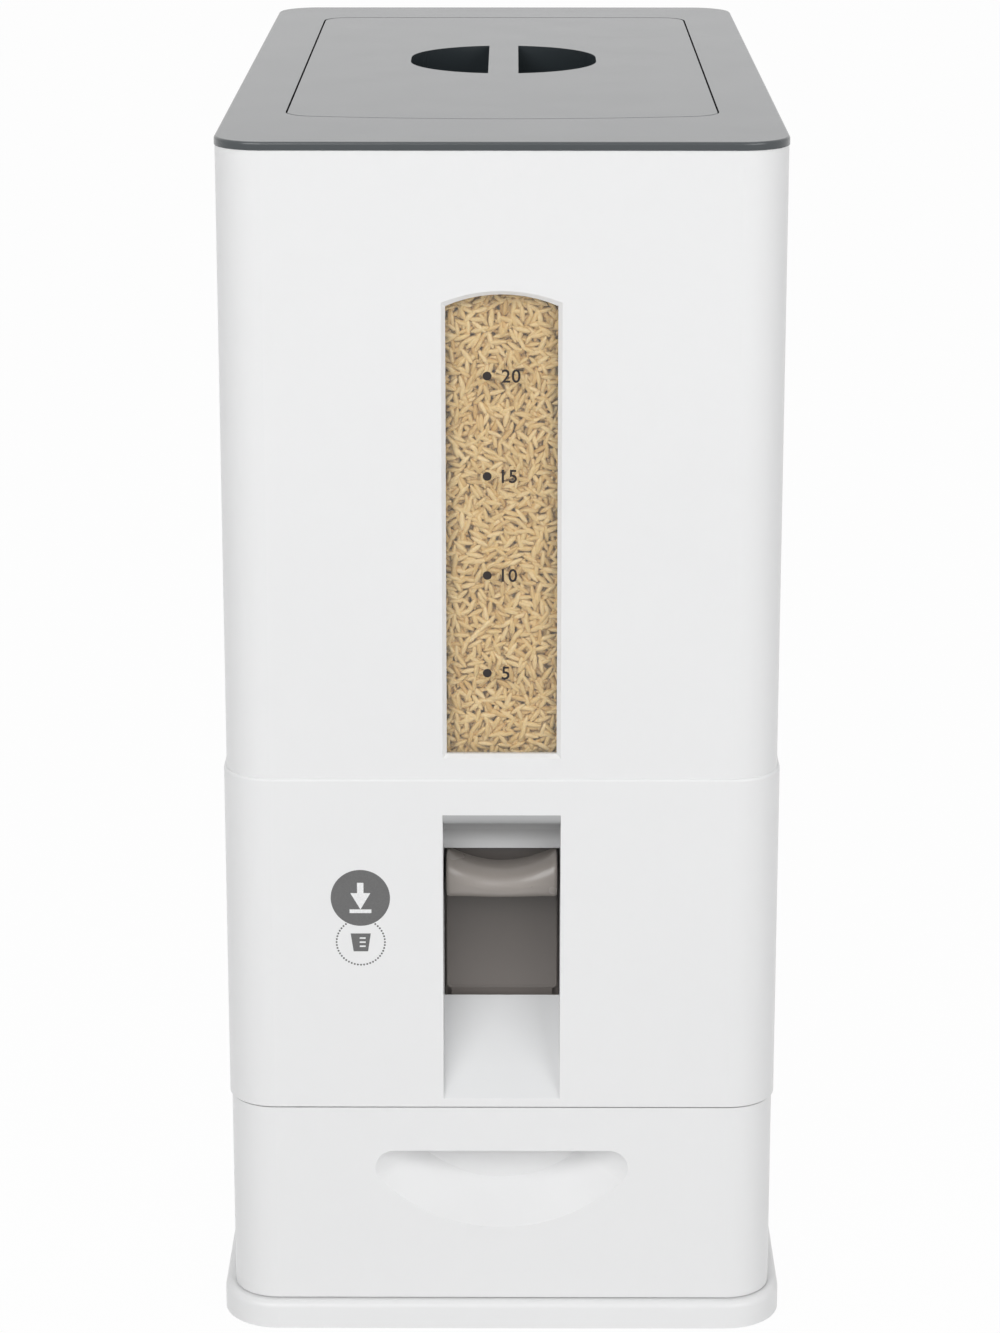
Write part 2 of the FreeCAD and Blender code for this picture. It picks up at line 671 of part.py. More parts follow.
def make_housing():
    body = make_body("dispenser_housing")
    outer = ("(body_width / 2 + housing_reach)", HOUSING_FRONT, "(body_corner + housing_reach)")
    inner = (HOUSING_X, HOUSING_Y, "(body_corner + housing_reach - housing_wall)")
    ledge_x = f"({HOUSING_X} - housing_wall)"
    ledge_y = f"({HOUSING_Y} - 2 * housing_wall)"
    ledge = (ledge_x, ledge_y, "(funnel_corner - 3 * housing_wall)")
    make_ring(body, "walls", CASING_TOP, "housing_height", outer, inner)
    top = number(HOUSING_TOP)
    half = number(outer[0])
    inside = number(inner[0])
    round_edges(
        body,
        "shoulder",
        "housing_reach",
        lambda edge: lies_at(edge, "Z", top) and outer_edge(edge, half, inside),
    )
    ledge_foot = f"{HOUSING_TOP} - tongue_height - ledge_thickness"
    make_ring(body, "ledge", ledge_foot, "ledge_thickness", inner, ledge)
    block = sketch_on(body, "block", "YZ_Plane")
    front = f"-{HOUSING_FRONT} + housing_wall / 2"
    back = f"-{HOUSING_FRONT} + cavity_back"
    crown = "recess_top + recess_side_wall"
    brow = f"{SLOT_PLANE} + slot_lip"
    cheek = f"{SHAFT_Y} + bush_flange + recess_side_wall"
    cheek_top = "shaft_height + bush_flange + recess_side_wall"
    draw_polygon(
        block,
        [
            (front, DECK_TOP),
            (cheek, DECK_TOP),
            (cheek, cheek_top),
            (back, cheek_top),
            (back, "cavity_top + recess_side_wall"),
            (brow, crown),
            (front, crown),
        ],
    )
    add_pad(body, block, "channel", "2 * (recess_half_width + recess_side_wall)", both_ways=True)
    recess = sketch_on(body, "recess", "YZ_Plane")
    draw_polygon(recess, recess_profile())
    add_pocket(body, recess, "front_recess", "2 * recess_half_width", both_ways=True)
    core = sketch_on(body, "core", "YZ_Plane")
    draw_polygon(
        core,
        [
            (f"-{HOUSING_FRONT} + housing_wall + ramp_bend_depth / 2", DECK_TOP),
            (f"{SLOT_PLANE}", DECK_TOP),
            (f"{SLOT_PLANE}", "slot_foot - 3 * slot_lip"),
        ],
    )
    add_pocket(body, core, "ramp_core", "2 * recess_half_width", both_ways=True)
    holes = sketch_on(body, "holes", "YZ_Plane")
    draw_circle(holes, SHAFT_Y, "shaft_height", "bush_radius + screw_gap / 2")
    add_pocket(body, holes, "bush_holes", "2 * (recess_half_width + 2 * recess_side_wall)", both_ways=True)
    bosses = sketch_on(body, "bosses", "XY_Plane", DECK_TOP)
    for x, y in housing_boss_places():
        draw_circle(bosses, x, y, "boss_radius")
    add_pad(body, bosses, "screw_bosses", "boss_height")
    webs = sketch_on(body, "webs", "XY_Plane", DECK_TOP)
    for side in (-1, 1):
        for place in (f"-{BOSS_Y}", BOSS_Y):
            near = f"{side} * ({HOUSING_X} - housing_boss_inset + boss_radius / 2)"
            far = f"{side} * ({HOUSING_X} + housing_wall / 2)"
            ends = (near, far) if side > 0 else (far, near)
            draw_box(webs, *ends, f"{place} - housing_wall / 2", f"{place} + housing_wall / 2")
    add_pad(body, webs, "boss_webs", "boss_height")
    bores = sketch_on(body, "bores", "XY_Plane", DECK_TOP)
    for x, y in housing_boss_places():
        draw_circle(bores, x, y, SCREW_BORE)
    add_pocket(body, bores, "boss_bores", "screw_length")
    return body


def outer_edge(edge, half, inside):
    """Whether an edge of the top belongs to the outer outline and not the inner one."""
    box = edge.BoundBox
    middle = edge.valueAt((edge.FirstParameter + edge.LastParameter) / 2)
    depth = number(HOUSING_FRONT) - (half - inside) / 2
    wide = max(abs(box.XMin), abs(box.XMax)) > (half + inside) / 2
    deep = max(abs(box.YMin), abs(box.YMax)) > depth
    return wide or deep or math.hypot(middle.x, middle.y) > math.hypot(half, depth)


def recess_profile():
    """The front recess and the lever's cavity behind it, seen from the side."""
    front = f"-{HOUSING_FRONT}"
    lip = f"{SLOT_PLANE} + slot_lip"
    beyond = f"{front} + 2 * cavity_back"
    return [
        (f"{front} - 1", "recess_foot"),
        (front, "recess_foot"),
        (f"{front} + ramp_bend_depth", "ramp_bend"),
        (SLOT_PLANE, "slot_foot"),
        (lip, "slot_foot - slot_lip / 2"),
        (lip, DECK_TOP),
        (beyond, DECK_TOP),
        (beyond, "cavity_top"),
        (lip, "cavity_top"),
        (lip, "slot_top"),
        (SLOT_PLANE, "slot_top"),
        (SLOT_PLANE, "recess_top - cove_corner_drop"),
        (f"{front} + cove_slope_depth", "recess_top - cove_slope_drop"),
        (front, "recess_top"),
        (f"{front} - 1", "recess_top"),
    ]


def make_deck():
    body = make_body("deck_plate")
    plate = (f"({HOUSING_X} - seat_gap)", f"({HOUSING_Y} - seat_gap)", "(body_corner - housing_wall)")
    outline = sketch_on(body, "outline", "XY_Plane", CASING_TOP)
    draw_frame(outline, *plate)
    add_pad(body, outline, "plate", "deck_thickness")
    outlet = sketch_on(body, "outlet", "XY_Plane", CASING_TOP)
    front = f"{CHAMBER_BACK} + outlet_gap"
    rear = f"chamber_front + {SHUTTLE_TRAVEL} + chamber_length"
    draw_box(outlet, "-chamber_width / 2", "chamber_width / 2", front, rear)
    add_pocket(body, outlet, "outlet_hole", "deck_thickness")
    bores = sketch_on(body, "bores", "XY_Plane", CASING_TOP)
    for x, y in casing_post_places() + housing_boss_places() + case_screw_places():
        draw_circle(bores, x, y, SCREW_BORE)
    add_pocket(body, bores, "screw_bores", "deck_thickness")
    rests = sketch_on(body, "rests", "XY_Plane", DECK_TOP)
    for side in (-1, 1):
        near = f"{side} * shuttle_gear_start"
        far = f"{side} * (shuttle_gear_start + gear_width)"
        ends = (near, far) if side > 0 else (far, near)
        draw_box(rests, *ends, f"{SHAFT_Y} - gear_width", f"{SHAFT_Y} + gear_width")
    add_pad(body, rests, "rack_rests", f"{SHUTTLE_LINE} - rack_bar_height - seat_gap - {DECK_TOP}")
    post = sketch_on(body, "post", "XY_Plane", DECK_TOP)
    draw_circle(post, "0", f"-{HOUSING_FRONT} + spring_depth", "post_radius")
    add_pad(body, post, "spring_post", "post_height")
    return body


def case_screw_places():
    x = f"({CASE_INNER} + case_wall + case_foot / 2)"
    return four_corners(x, "chamber_front - chamber_length / 2", "0")


def make_meter_case():
    body = make_body("meter_case")
    wall = f"({CASE_INNER} + case_wall)"
    foot = f"({CASE_INNER} + case_wall + case_foot)"
    foot_top = f"({DECK_TOP} + case_wall)"
    back = f"(chamber_front + {SHUTTLE_TRAVEL} + chamber_length + case_back_room)"
    front = f"(chamber_front - {SHUTTLE_TRAVEL} - case_front_room)"
    section = sketch_on(body, "section", "XZ_Plane", f"-{back}")
    outside = [(foot, DECK_TOP), (foot, foot_top), (wall, foot_top), (wall, CASE_TOP)]
    inside = [(CASE_INNER, CASE_UNDER), (CASE_INNER, DECK_TOP)]
    draw_polygon(section, outside + mirrored(outside) + mirrored(inside) + inside)
    add_pad(body, section, "arch", f"{back} - {front}")
    inlet = sketch_on(body, "inlet", "XY_Plane", CASE_UNDER)
    rear = f"{CHAMBER_BACK} - outlet_gap"
    draw_box(inlet, "-chamber_width / 2", "chamber_width / 2", "chamber_front", rear)
    add_pocket(body, inlet, "inlet_hole", "case_top")
    bores = sketch_on(body, "bores", "XY_Plane", DECK_TOP)
    for x, y in case_screw_places():
        draw_circle(bores, x, y, SCREW_BORE)
    add_pocket(body, bores, "screw_bores", "case_wall")
    return body


def mirrored(points):
    """The same corners on the other side, walked the other way."""
    return [(f"-({x})", z) for x, z in reversed(points)]


def make_spout():
    """The short flanged chute under the outlet hole."""
    front = f"({CHAMBER_BACK} + outlet_gap)"
    back = f"(chamber_front + {SHUTTLE_TRAVEL} + chamber_length)"
    low = f"{CASING_TOP} - spout_drop"
    wide = "(chamber_width / 2 + spout_wall)"
    tube_front = f"{front} - spout_wall"
    tube_back = f"{back} + spout_wall"
    tube = make_box("spout_tube", f"-{wide}", wide, tube_front, tube_back, low, CASING_TOP)
    lip = make_box(
        "spout_lip",
        f"-{wide} - spout_flange",
        f"{wide} + spout_flange",
        f"{front} - spout_wall - spout_flange",
        f"{back} + spout_wall + spout_flange",
        f"{CASING_TOP} - spout_wall",
        CASING_TOP,
    )
    outside = combine("Part::MultiFuse", "spout_outside", [tube, lip], keep=False)
    half = "chamber_width / 2"
    bore = make_box("spout_bore", f"-{half}", half, front, back, f"{low} - 1", f"{CASING_TOP} + 1")
    return cut("outlet_spout", outside, bore)


def make_shuttle():
    body = make_body("measuring_shuttle")
    half = "(chamber_width / 2 + shuttle_wall)"
    outline = sketch_on(body, "outline", "XY_Plane", SHUTTLE_FOOT)
    draw_box(outline, f"-{half}", half, "chamber_front - shuttle_wall", f"{CHAMBER_BACK} + shuttle_wall")
    add_pad(body, outline, "block", "chamber_height")
    chamber = sketch_on(body, "chamber", "XY_Plane", SHUTTLE_FOOT)
    draw_box(chamber, "-chamber_width / 2", "chamber_width / 2", "chamber_front", CHAMBER_BACK)
    add_pocket(body, chamber, "measure", "chamber_height")
    blade = sketch_on(body, "blade", "XY_Plane", f"{SHUTTLE_TOP} - blade_thickness")
    blade_front = f"chamber_front - {SHUTTLE_TRAVEL} - outlet_gap"
    draw_box(blade, f"-{half}", half, blade_front, "chamber_front - shuttle_wall / 2")
    add_pad(body, blade, "cutoff_blade", "blade_thickness")
    return body


def make_shuttle_rack(side):
    name = "left" if side < 0 else "right"
    body = make_body(f"shuttle_rack_{name}")
    near = f"{side} * (shuttle_gear_start + guide_gap)"
    far = f"{side} * (shuttle_gear_start + gear_width - guide_gap)"
    left, right = (near, far) if side > 0 else (far, near)
    start = f"({SHAFT_Y} - {rack_length(SHUTTLE_TRAVEL)} + {PITCH})"
    root = f"({SHUTTLE_LINE} - gear_dedendum)"
    bar = sketch_on(body, "bar", "YZ_Plane", left)
    wall_face = "(chamber_front - shuttle_wall)"
    foot_width = "2 * shuttle_wall"
    draw_polygon(
        bar,
        [
            (start, f"{SHUTTLE_LINE} - rack_bar_height"),
            (wall_face, f"{SHUTTLE_LINE} - rack_bar_height"),
            (wall_face, f"{SHUTTLE_LINE} + rack_bar_height"),
            (f"{wall_face} - {foot_width}", f"{SHUTTLE_LINE} + rack_bar_height"),
            (f"{wall_face} - {foot_width}", root),
            (start, root),
        ],
    )
    add_pad(body, bar, "bar", f"({right}) - ({left})")
    add_teeth(body, left, right, f"({SHAFT_Y} + {PITCH} / 2)", SHUTTLE_LINE, "up", SHUTTLE_TRAVEL)
    return body


def rack_teeth(travel):
    """How many teeth keep the pinion in mesh over a travel."""
    return f"(floor({travel} / {PITCH}) + 3)"


def rack_length(travel):
    return f"({rack_teeth(travel)} * {PITCH})"


def add_teeth(body, left, right, middle, line, way, travel):
    """Rack teeth in a linear pattern.  The row starts half a pitch from the pinion's own tooth."""
    slope = "tan(gear_angle * 1 deg)"
    half = f"(({PITCH} / 2 - gear_backlash) / 2)"
    tip = f"({half} - gear_addendum * {slope})"
    foot = f"({half} + gear_dedendum * {slope})"
    tooth = sketch_on(body, "tooth", "YZ_Plane", left)
    if way == "up":
        corners = [
            (f"{middle} - {foot}", f"{line} - gear_dedendum"),
            (f"{middle} + {foot}", f"{line} - gear_dedendum"),
            (f"{middle} + {tip}", f"{line} + gear_addendum"),
            (f"{middle} - {tip}", f"{line} + gear_addendum"),
        ]
    else:
        corners = [
            (f"{line} - gear_dedendum", f"{middle} + {foot}"),
            (f"{line} - gear_dedendum", f"{middle} - {foot}"),
            (f"{line} + gear_addendum", f"{middle} - {tip}"),
            (f"{line} + gear_addendum", f"{middle} + {tip}"),
        ]
    draw_polygon(tooth, corners)
    pad = add_pad(body, tooth, f"tooth_{number(left):.0f}".replace("-", "m"), f"({right}) - ({left})")
    document.recompute()
    row = body.newObject("PartDesign::LinearPattern", f"{body.Name}_row_{number(left):.0f}".replace("-", "m"))
    row.Originals = [pad]
    row.Direction = (tooth, ["H_Axis" if way == "up" else "V_Axis"])
    row.Reversed = way == "up"
    row.setExpression("Occurrences", bound(rack_teeth(travel)))
    row.Mode = "Spacing"
    row.setExpression("Offset", bound(PITCH))
    body.Tip = row
    document.recompute()
    return row


def involute_flank(base, angle_at_pitch, radius):
    """Polar angle of an involute flank at a radius, measured so that it is zero at the pitch."""
    roll = math.acos(min(1.0, base / radius))
    return math.tan(roll) - roll - angle_at_pitch


def pinion_shape(teeth, width, turn):
    """A spur pinion about X: involute flanks, thinned by the backlash, one tooth at angle turn."""
    module = number("gear_module")
    pitch = module * teeth / 2
    pressure = math.radians(number("gear_angle"))
    base = pitch * math.cos(pressure)
    tip = pitch + number("gear_addendum")
    root = pitch - number("gear_dedendum")
    start = max(root, base)
    at_pitch = math.tan(pressure) - pressure
    half = (module * math.pi / 2 - number("gear_backlash")) / 2 / pitch
    radii = [start + (tip - start) * step / 3 for step in range(4)]
    edges = []
    step = 2 * math.pi / teeth

    def spot(radius, angle):
        return FreeCAD.Vector(0, radius * math.cos(angle), radius * math.sin(angle))

    for index in range(teeth):
        centre = turn + index * step
        angles = [half - involute_flank(base, at_pitch, radius) for radius in radii]
        rising = [spot(radius, centre - angle) for radius, angle in zip(radii, angles)]
        falling = [spot(radius, centre + angle) for radius, angle in zip(radii, angles)][::-1]
        foot_in = spot(root, centre - angles[0])
        foot_out = spot(root, centre + angles[0])
        following = spot(root, centre + step - angles[0])
        valley = spot(root, centre + step / 2)
        left_flank = Part.BSplineCurve()
        left_flank.interpolate(rising)
        right_flank = Part.BSplineCurve()
        right_flank.interpolate(falling)
        if start > root:
            edges.append(Part.makeLine(foot_in, rising[0]))
        edges.append(left_flank.toShape())
        edges.append(Part.Arc(rising[-1], spot(tip, centre), falling[0]).toShape())
        edges.append(right_flank.toShape())
        if start > root:
            edges.append(Part.makeLine(falling[-1], foot_out))
        edges.append(Part.Arc(foot_out, valley, following).toShape())
    blank = Part.Face(Part.Wire(edges)).extrude(FreeCAD.Vector(width, 0, 0))
    bore = Part.makeCylinder(
        number("shaft_radius + shaft_gap / 2"), width + 2, FreeCAD.Vector(-1, 0, 0), FreeCAD.Vector(1, 0, 0)
    )
    return blank.cut(bore)


def make_pinion(label, teeth, start, side, turn):
    pinion = document.addObject("Part::Feature", label)
    width = number("gear_width")
    if teeth == "shuttle_teeth":
        width -= 2 * number("guide_gap")
        start = f"{start} + guide_gap"
    pinion.Shape = pinion_shape(int(number(teeth)), width, turn)
    x = number(start)
    place = x if side > 0 else -x - width
    pinion.Placement = FreeCAD.Placement(
        FreeCAD.Vector(place, number(SHAFT_Y), number("shaft_height")), FreeCAD.Rotation()
    )
    pieces.append(pinion)
    return pinion


def shaft_half():
    return "(shuttle_gear_start + gear_width + shaft_overhang)"


def make_shaft():
    shaft = make_cylinder(
        "cross_shaft",
        "shaft_radius",
        f"2 * {shaft_half()}",
        f"-{shaft_half()}",
        SHAFT_Y,
        "shaft_height",
        ALONG_X,
    )
    pieces.append(shaft)
    return shaft


def make_bush(side):
    """A flanged bush in the channel's side wall."""
    name = "left" if side < 0 else "right"
    inner = "recess_half_width"
    outer = "(recess_half_width + recess_side_wall)"
    if side > 0:
        sleeve_start, flange_start = inner, f"({inner} - clip_thickness)"
    else:
        sleeve_start, flange_start = f"-{outer}", f"-{inner}"
    sleeve = make_cylinder(
        f"bush_sleeve_{name}",
        "bush_radius",
        "recess_side_wall",
        sleeve_start,
        SHAFT_Y,
        "shaft_height",
        ALONG_X,
    )
    flange = make_cylinder(
        f"bush_flange_{name}", "bush_flange", "clip_thickness", flange_start, SHAFT_Y, "shaft_height", ALONG_X
    )
    solid = combine("Part::MultiFuse", f"bush_solid_{name}", [sleeve, flange], keep=False)
    bore = make_cylinder(
        f"bush_bore_{name}",
        "shaft_radius + shaft_gap",
        f"2 * {outer}",
        inner + " - 2 * recess_side_wall" if side > 0 else f"-{outer} - recess_side_wall",
        SHAFT_Y,
        "shaft_height",
        ALONG_X,
    )
    return cut(f"shaft_bush_{name}", solid, bore)


def make_clips():
    """The two snap rings that keep the pinions on the shaft."""
    rings = []
    for side in (-1, 1):
        near = "(shuttle_gear_start + gear_width)"
        start = near if side > 0 else f"-{near} - clip_thickness"
        ring = make_cylinder(
            f"clip_disc_{side}",
            "clip_radius",
            "clip_thickness",
            start,
            SHAFT_Y,
            "shaft_height",
            ALONG_X,
        )
        bore = make_cylinder(
            f"clip_bore_{side}",
            "shaft_radius + shaft_gap / 2",
            "3 * clip_thickness",
            f"{start} - clip_thickness",
            SHAFT_Y,
            "shaft_height",
            ALONG_X,
        )
        rings.append(cut(f"clip_ring_{side}", ring, bore, keep=False))
    return combine("Part::Compound", "shaft_clips", rings)


def make_lever():
    body = make_body("lever_panel")
    panel = sketch_on(body, "panel", "XZ_Plane", f"-{LEVER_BACK}")
    draw_box(panel, "-lever_half_width", "lever_half_width", "lever_foot", "lever_top")
    add_pad(body, panel, "panel", "lever_thickness")
    tongues = sketch_on(body, "tongues", "XY_Plane", "lever_foot")
    reach = "(recess_half_width - guide_gap)"
    for side in (-1, 1):
        near = f"{side} * ({reach} - guide_width)"
        far = f"{side} * {reach}"
        ends = (near, far) if side > 0 else (far, near)
        draw_box(tongues, *ends, f"{LEVER_BACK} - lever_thickness / 3", f"{LEVER_BACK} + guide_depth")
    add_pad(body, tongues, "guide_tongues", "lever_top - lever_foot")
    ribs = sketch_on(body, "ribs", "XY_Plane", f"shaft_height - {PITCH}")
    for side in (-1, 1):
        near = f"{side} * lever_gear_start"
        far = f"{side} * (lever_gear_start + gear_width)"
        ends = (near, far) if side > 0 else (far, near)
        draw_box(ribs, *ends, f"{LEVER_BACK} - lever_thickness / 2", f"{RACK_LINE} - gear_dedendum")
    add_pad(body, ribs, "rack_ribs", rack_length("press_travel"))
    shelf = sketch_on(body, "shelf", "XY_Plane", "spring_seat")
    seat_half = "(spring_radius + spring_wire)"
    seat_back = f"-{HOUSING_FRONT} + spring_depth + {seat_half}"
    draw_box(shelf, f"-{seat_half}", seat_half, f"{LEVER_BACK} - lever_thickness / 2", seat_back)
    add_pad(body, shelf, "spring_shelf", "lever_thickness")
    for side in (-1, 1):
        left = "lever_gear_start" if side > 0 else "-(lever_gear_start + gear_width)"
        right = "(lever_gear_start + gear_width)" if side > 0 else "-lever_gear_start"
        add_teeth(body, left, right, f"(shaft_height - {PITCH} / 2)", RACK_LINE, "back", "press_travel")
    return body


def make_knob():
    """The finger pad: a rounded bar whose top is dished in the middle."""
    body = make_body("lever_knob")
    front = f"({LEVER_FRONT} - knob_reach)"
    section = sketch_on(body, "section", "YZ_Plane")
    draw_rounded(section, front, f"{LEVER_FRONT} + knob_reach", "knob_foot", "knob_top", "(knob_reach / 2)")
    add_pad(body, section, "bar", "2 * knob_half_width", both_ways=True)
    behind = sketch_on(body, "behind", "YZ_Plane")
    draw_box(behind, LEVER_FRONT, f"{LEVER_FRONT} + 2 * knob_reach", "knob_foot - 1", "knob_top + 1")
    add_pocket(body, behind, "flat_back", "3 * knob_half_width", both_ways=True)
    dish = sketch_on(body, "dish", "XZ_Plane", f"-{LEVER_FRONT}")
    arc_radius = "((knob_half_width ^ 2 + knob_dish ^ 2) / (2 * knob_dish))"
    draw_circle(dish, "0", f"knob_top - knob_dish + {arc_radius}", arc_radius)
    add_pocket(body, dish, "finger_dish", "2 * knob_reach")
    return body


def make_spring():
    """A coil spring between the deck and the lever's shelf."""
    x, y = 0.0, number(f"-{HOUSING_FRONT} + spring_depth")
    wire = number("spring_wire") / 2
    low = number(DECK_TOP) + wire + 0.05
    tall = number("spring_seat") - wire - 0.05 - low
    helix = Part.makeHelix(tall / number("spring_turns"), tall, number("spring_radius"))
    start = FreeCAD.Vector(number("spring_radius"), 0, 0)
    ring = Part.Wire(Part.makeCircle(wire, start, FreeCAD.Vector(0, 1, 0)))
    spring = document.addObject("Part::Feature", "return_spring")
    spring.Shape = Part.Wire(helix).makePipeShell([ring], True, True)
    spring.Placement = FreeCAD.Placement(FreeCAD.Vector(x, y, low), FreeCAD.Rotation())
    pieces.append(spring)
    return spring


def draw_arched(sketch, half, low, shoulder, arch):
    """A window: straight sides and foot, with one shallow arc of height arch on top."""
    a, z0, z1, rise = (number(text) for text in (half, low, shoulder, arch))
    left, right = FreeCAD.Vector(-a, z1, 0), FreeCAD.Vector(a, z1, 0)
    first = sketch.GeometryCount
    sketch.addGeometry(Part.LineSegment(left, FreeCAD.Vector(-a, z0, 0)))
    sketch.addGeometry(Part.LineSegment(FreeCAD.Vector(-a, z0, 0), FreeCAD.Vector(a, z0, 0)))
    sketch.addGeometry(Part.LineSegment(FreeCAD.Vector(a, z0, 0), right))
    sketch.addGeometry(Part.Arc(right, FreeCAD.Vector(0, z1 + rise, 0), left))
    for index, end in ((0, 2), (1, 2)):
        sketch.addConstraint(Sketcher.Constraint("Coincident", first + index, end, first + index + 1, 1))
    sketch.addConstraint(Sketcher.Constraint("Coincident", first + 2, 2, first + 3, 1))
    sketch.addConstraint(Sketcher.Constraint("Coincident", first + 3, 2, first, 1))
    pin(sketch, first, 1, f"-({half})", shoulder)
    pin(sketch, first + 1, 1, f"-({half})", low)
    pin(sketch, first + 2, 1, half, low)
    pin(sketch, first + 2, 2, half, shoulder)
    dimension(sketch, "Radius", first + 3, f"((({half}) ^ 2 + ({arch}) ^ 2) / (2 * ({arch})))")


def make_funnel():
    """The hopper's sloping floor: two crossed prisms in a rounded upright, on a low skirt."""
    rim_x = f"({HOPPER_X} - seat_gap)"
    rim_y = f"({HOPPER_Y} - seat_gap)"
    ceiling = f"({FUNNEL_BACK} + 4 * funnel_wall)"
    outside = funnel_solid("outer", rim_x, rim_y, CASE_TOP, ceiling, "funnel_wall", "funnel_corner")
    inside = funnel_solid(
        "inner",
        f"({rim_x} - funnel_wall)",
        f"({rim_y} - funnel_wall)",
        f"({CASE_TOP} - 1)",
        f"({ceiling} + 1)",
        "0",
        "(funnel_corner - funnel_wall)",
    )
    shell = cut("funnel_untrimmed", outside, inside, keep=False)
    trim = document.addObject("PartDesign::Body", "funnel_trim")
    above = sketch_on(trim, "above", "YZ_Plane")
    draw_polygon(
        above,
        [
            (f"-{rim_y} - 1", f"{FUNNEL_FRONT} + funnel_wall"),
            (f"{rim_y} + 1", f"{FUNNEL_BACK} + funnel_wall"),
            (f"{rim_y} + 1", f"{ceiling} + 2"),
            (f"-{rim_y} - 1", f"{ceiling} + 2"),
        ],
    )
    add_pad(trim, above, "space", f"2 * {rim_x} + 2", both_ways=True)
    bowl = cut("funnel_bowl", shell, trim, keep=False)
    skirt = document.addObject("PartDesign::Body", "funnel_skirt")
    foot = f"({HOUSING_TOP} - tongue_height)"
    wide = (rim_x, rim_y, "funnel_corner")
    narrow = (f"({rim_x} - funnel_wall)", f"({rim_y} - funnel_wall)", "(funnel_corner - funnel_wall)")
    make_ring(skirt, "ring", foot, f"{FUNNEL_FRONT} - {foot}", wide, narrow)
    return combine("Part::MultiFuse", "hopper_funnel", [bowl, skirt])


def funnel_solid(name, half_x, half_y, low, ceiling, wall, corner):
    """The space between the slopes and above the throat, grown outwards by a wall."""
    throat = f"({CASE_TOP} + throat_height - {wall} / 2)"
    along = document.addObject("PartDesign::Body", f"funnel_{name}_along")
    side = sketch_on(along, "side", "YZ_Plane")
    draw_polygon(
        side,
        [
            (f"chamber_front - {wall}", low),
            (f"{CHAMBER_BACK} + {wall}", low),
            (f"{CHAMBER_BACK} + {wall}", throat),
            (half_y, f"{FUNNEL_BACK} - {wall} / 2"),
            (half_y, ceiling),
            (f"-{half_y}", ceiling),
            (f"-{half_y}", f"{FUNNEL_FRONT} - {wall} / 2"),
            (f"chamber_front - {wall}", throat),
        ],
    )
    add_pad(along, side, "prism", f"2 * {half_x}", both_ways=True)
    across = document.addObject("PartDesign::Body", f"funnel_{name}_across")
    front = sketch_on(across, "front", "XZ_Plane")
    draw_polygon(
        front,
        [
            (f"-chamber_width / 2 - {wall}", low),
            (f"chamber_width / 2 + {wall}", low),
            (f"chamber_width / 2 + {wall}", throat),
            (half_x, f"{FUNNEL_SIDE} - {wall} / 2"),
            (half_x, ceiling),
            (f"-{half_x}", ceiling),
            (f"-{half_x}", f"{FUNNEL_SIDE} - {wall} / 2"),
            (f"-chamber_width / 2 - {wall}", throat),
        ],
    )
    add_pad(across, front, "prism", f"2 * {half_y}", both_ways=True)
    upright = document.addObject("PartDesign::Body", f"funnel_{name}_upright")
    plan = sketch_on(upright, "plan", "XY_Plane", low)
    draw_frame(plan, half_x, half_y, corner)
    add_pad(upright, plan, "prism", f"{ceiling} - {low}")
    crossed = document.addObject("Part::MultiCommon", f"funnel_{name}")
    crossed.Shapes = [along, across, upright]
    return crossed


def make_hopper():
    body = make_body("hopper_shell")
    outer = ("(body_width / 2)", "(body_depth / 2)", "body_corner")
    inner = (HOPPER_X, HOPPER_Y, "(body_corner - hopper_wall)")
    tongue = (f"({HOUSING_X} - panel_gap / 2)", f"({HOUSING_Y} - panel_gap / 2)", "(body_corner - 2)")
    make_ring(body, "walls", HOUSING_TOP, "hopper_height", outer, inner)
    make_ring(body, "tongue", f"{HOUSING_TOP} - tongue_height", "2 * tongue_height", tongue, inner)
    opening = sketch_on(body, "opening", "XZ_Plane", f"{HOPPER_Y} - 1")
    draw_arched(opening, "window_half_width", WINDOW_FOOT, WINDOW_TOP, "window_arch")
    add_pocket(body, opening, "window", "hopper_wall + 2")
    front = sketch_on(body, "bevel_front", "XZ_Plane", "body_depth / 2")
    wide = "(window_half_width + window_bevel)"
    draw_arched(front, wide, f"{WINDOW_FOOT} - window_bevel", f"({WINDOW_TOP} + window_bevel)", "window_arch")
    back = sketch_on(body, "bevel_back", "XZ_Plane", "body_depth / 2 - window_bevel")
    draw_arched(back, "window_half_width", WINDOW_FOOT, WINDOW_TOP, "window_arch")
    bevel = body.newObject("PartDesign::SubtractiveLoft", "hopper_shell_bevel")
    bevel.Profile = front
    bevel.Sections = [back]
    bevel.Ruled = True
    return body


def make_gasket():
    """The soft frame between the hopper's wall and the pane."""
    body = make_body("window_gasket")
    ring = sketch_on(body, "ring", "XZ_Plane", f"{HOPPER_Y} - gasket_thickness")
    reach = "(window_half_width + pane_flange)"
    draw_arched(ring, reach, f"{WINDOW_FOOT} - pane_flange", f"{WINDOW_TOP} + pane_flange", "window_arch")
    inside = "(window_half_width + pane_gap)"
    draw_arched(ring, inside, f"{WINDOW_FOOT} - pane_gap", f"{WINDOW_TOP} + pane_gap", "window_arch")
    add_pad(body, ring, "frame", "gasket_thickness")
    return body


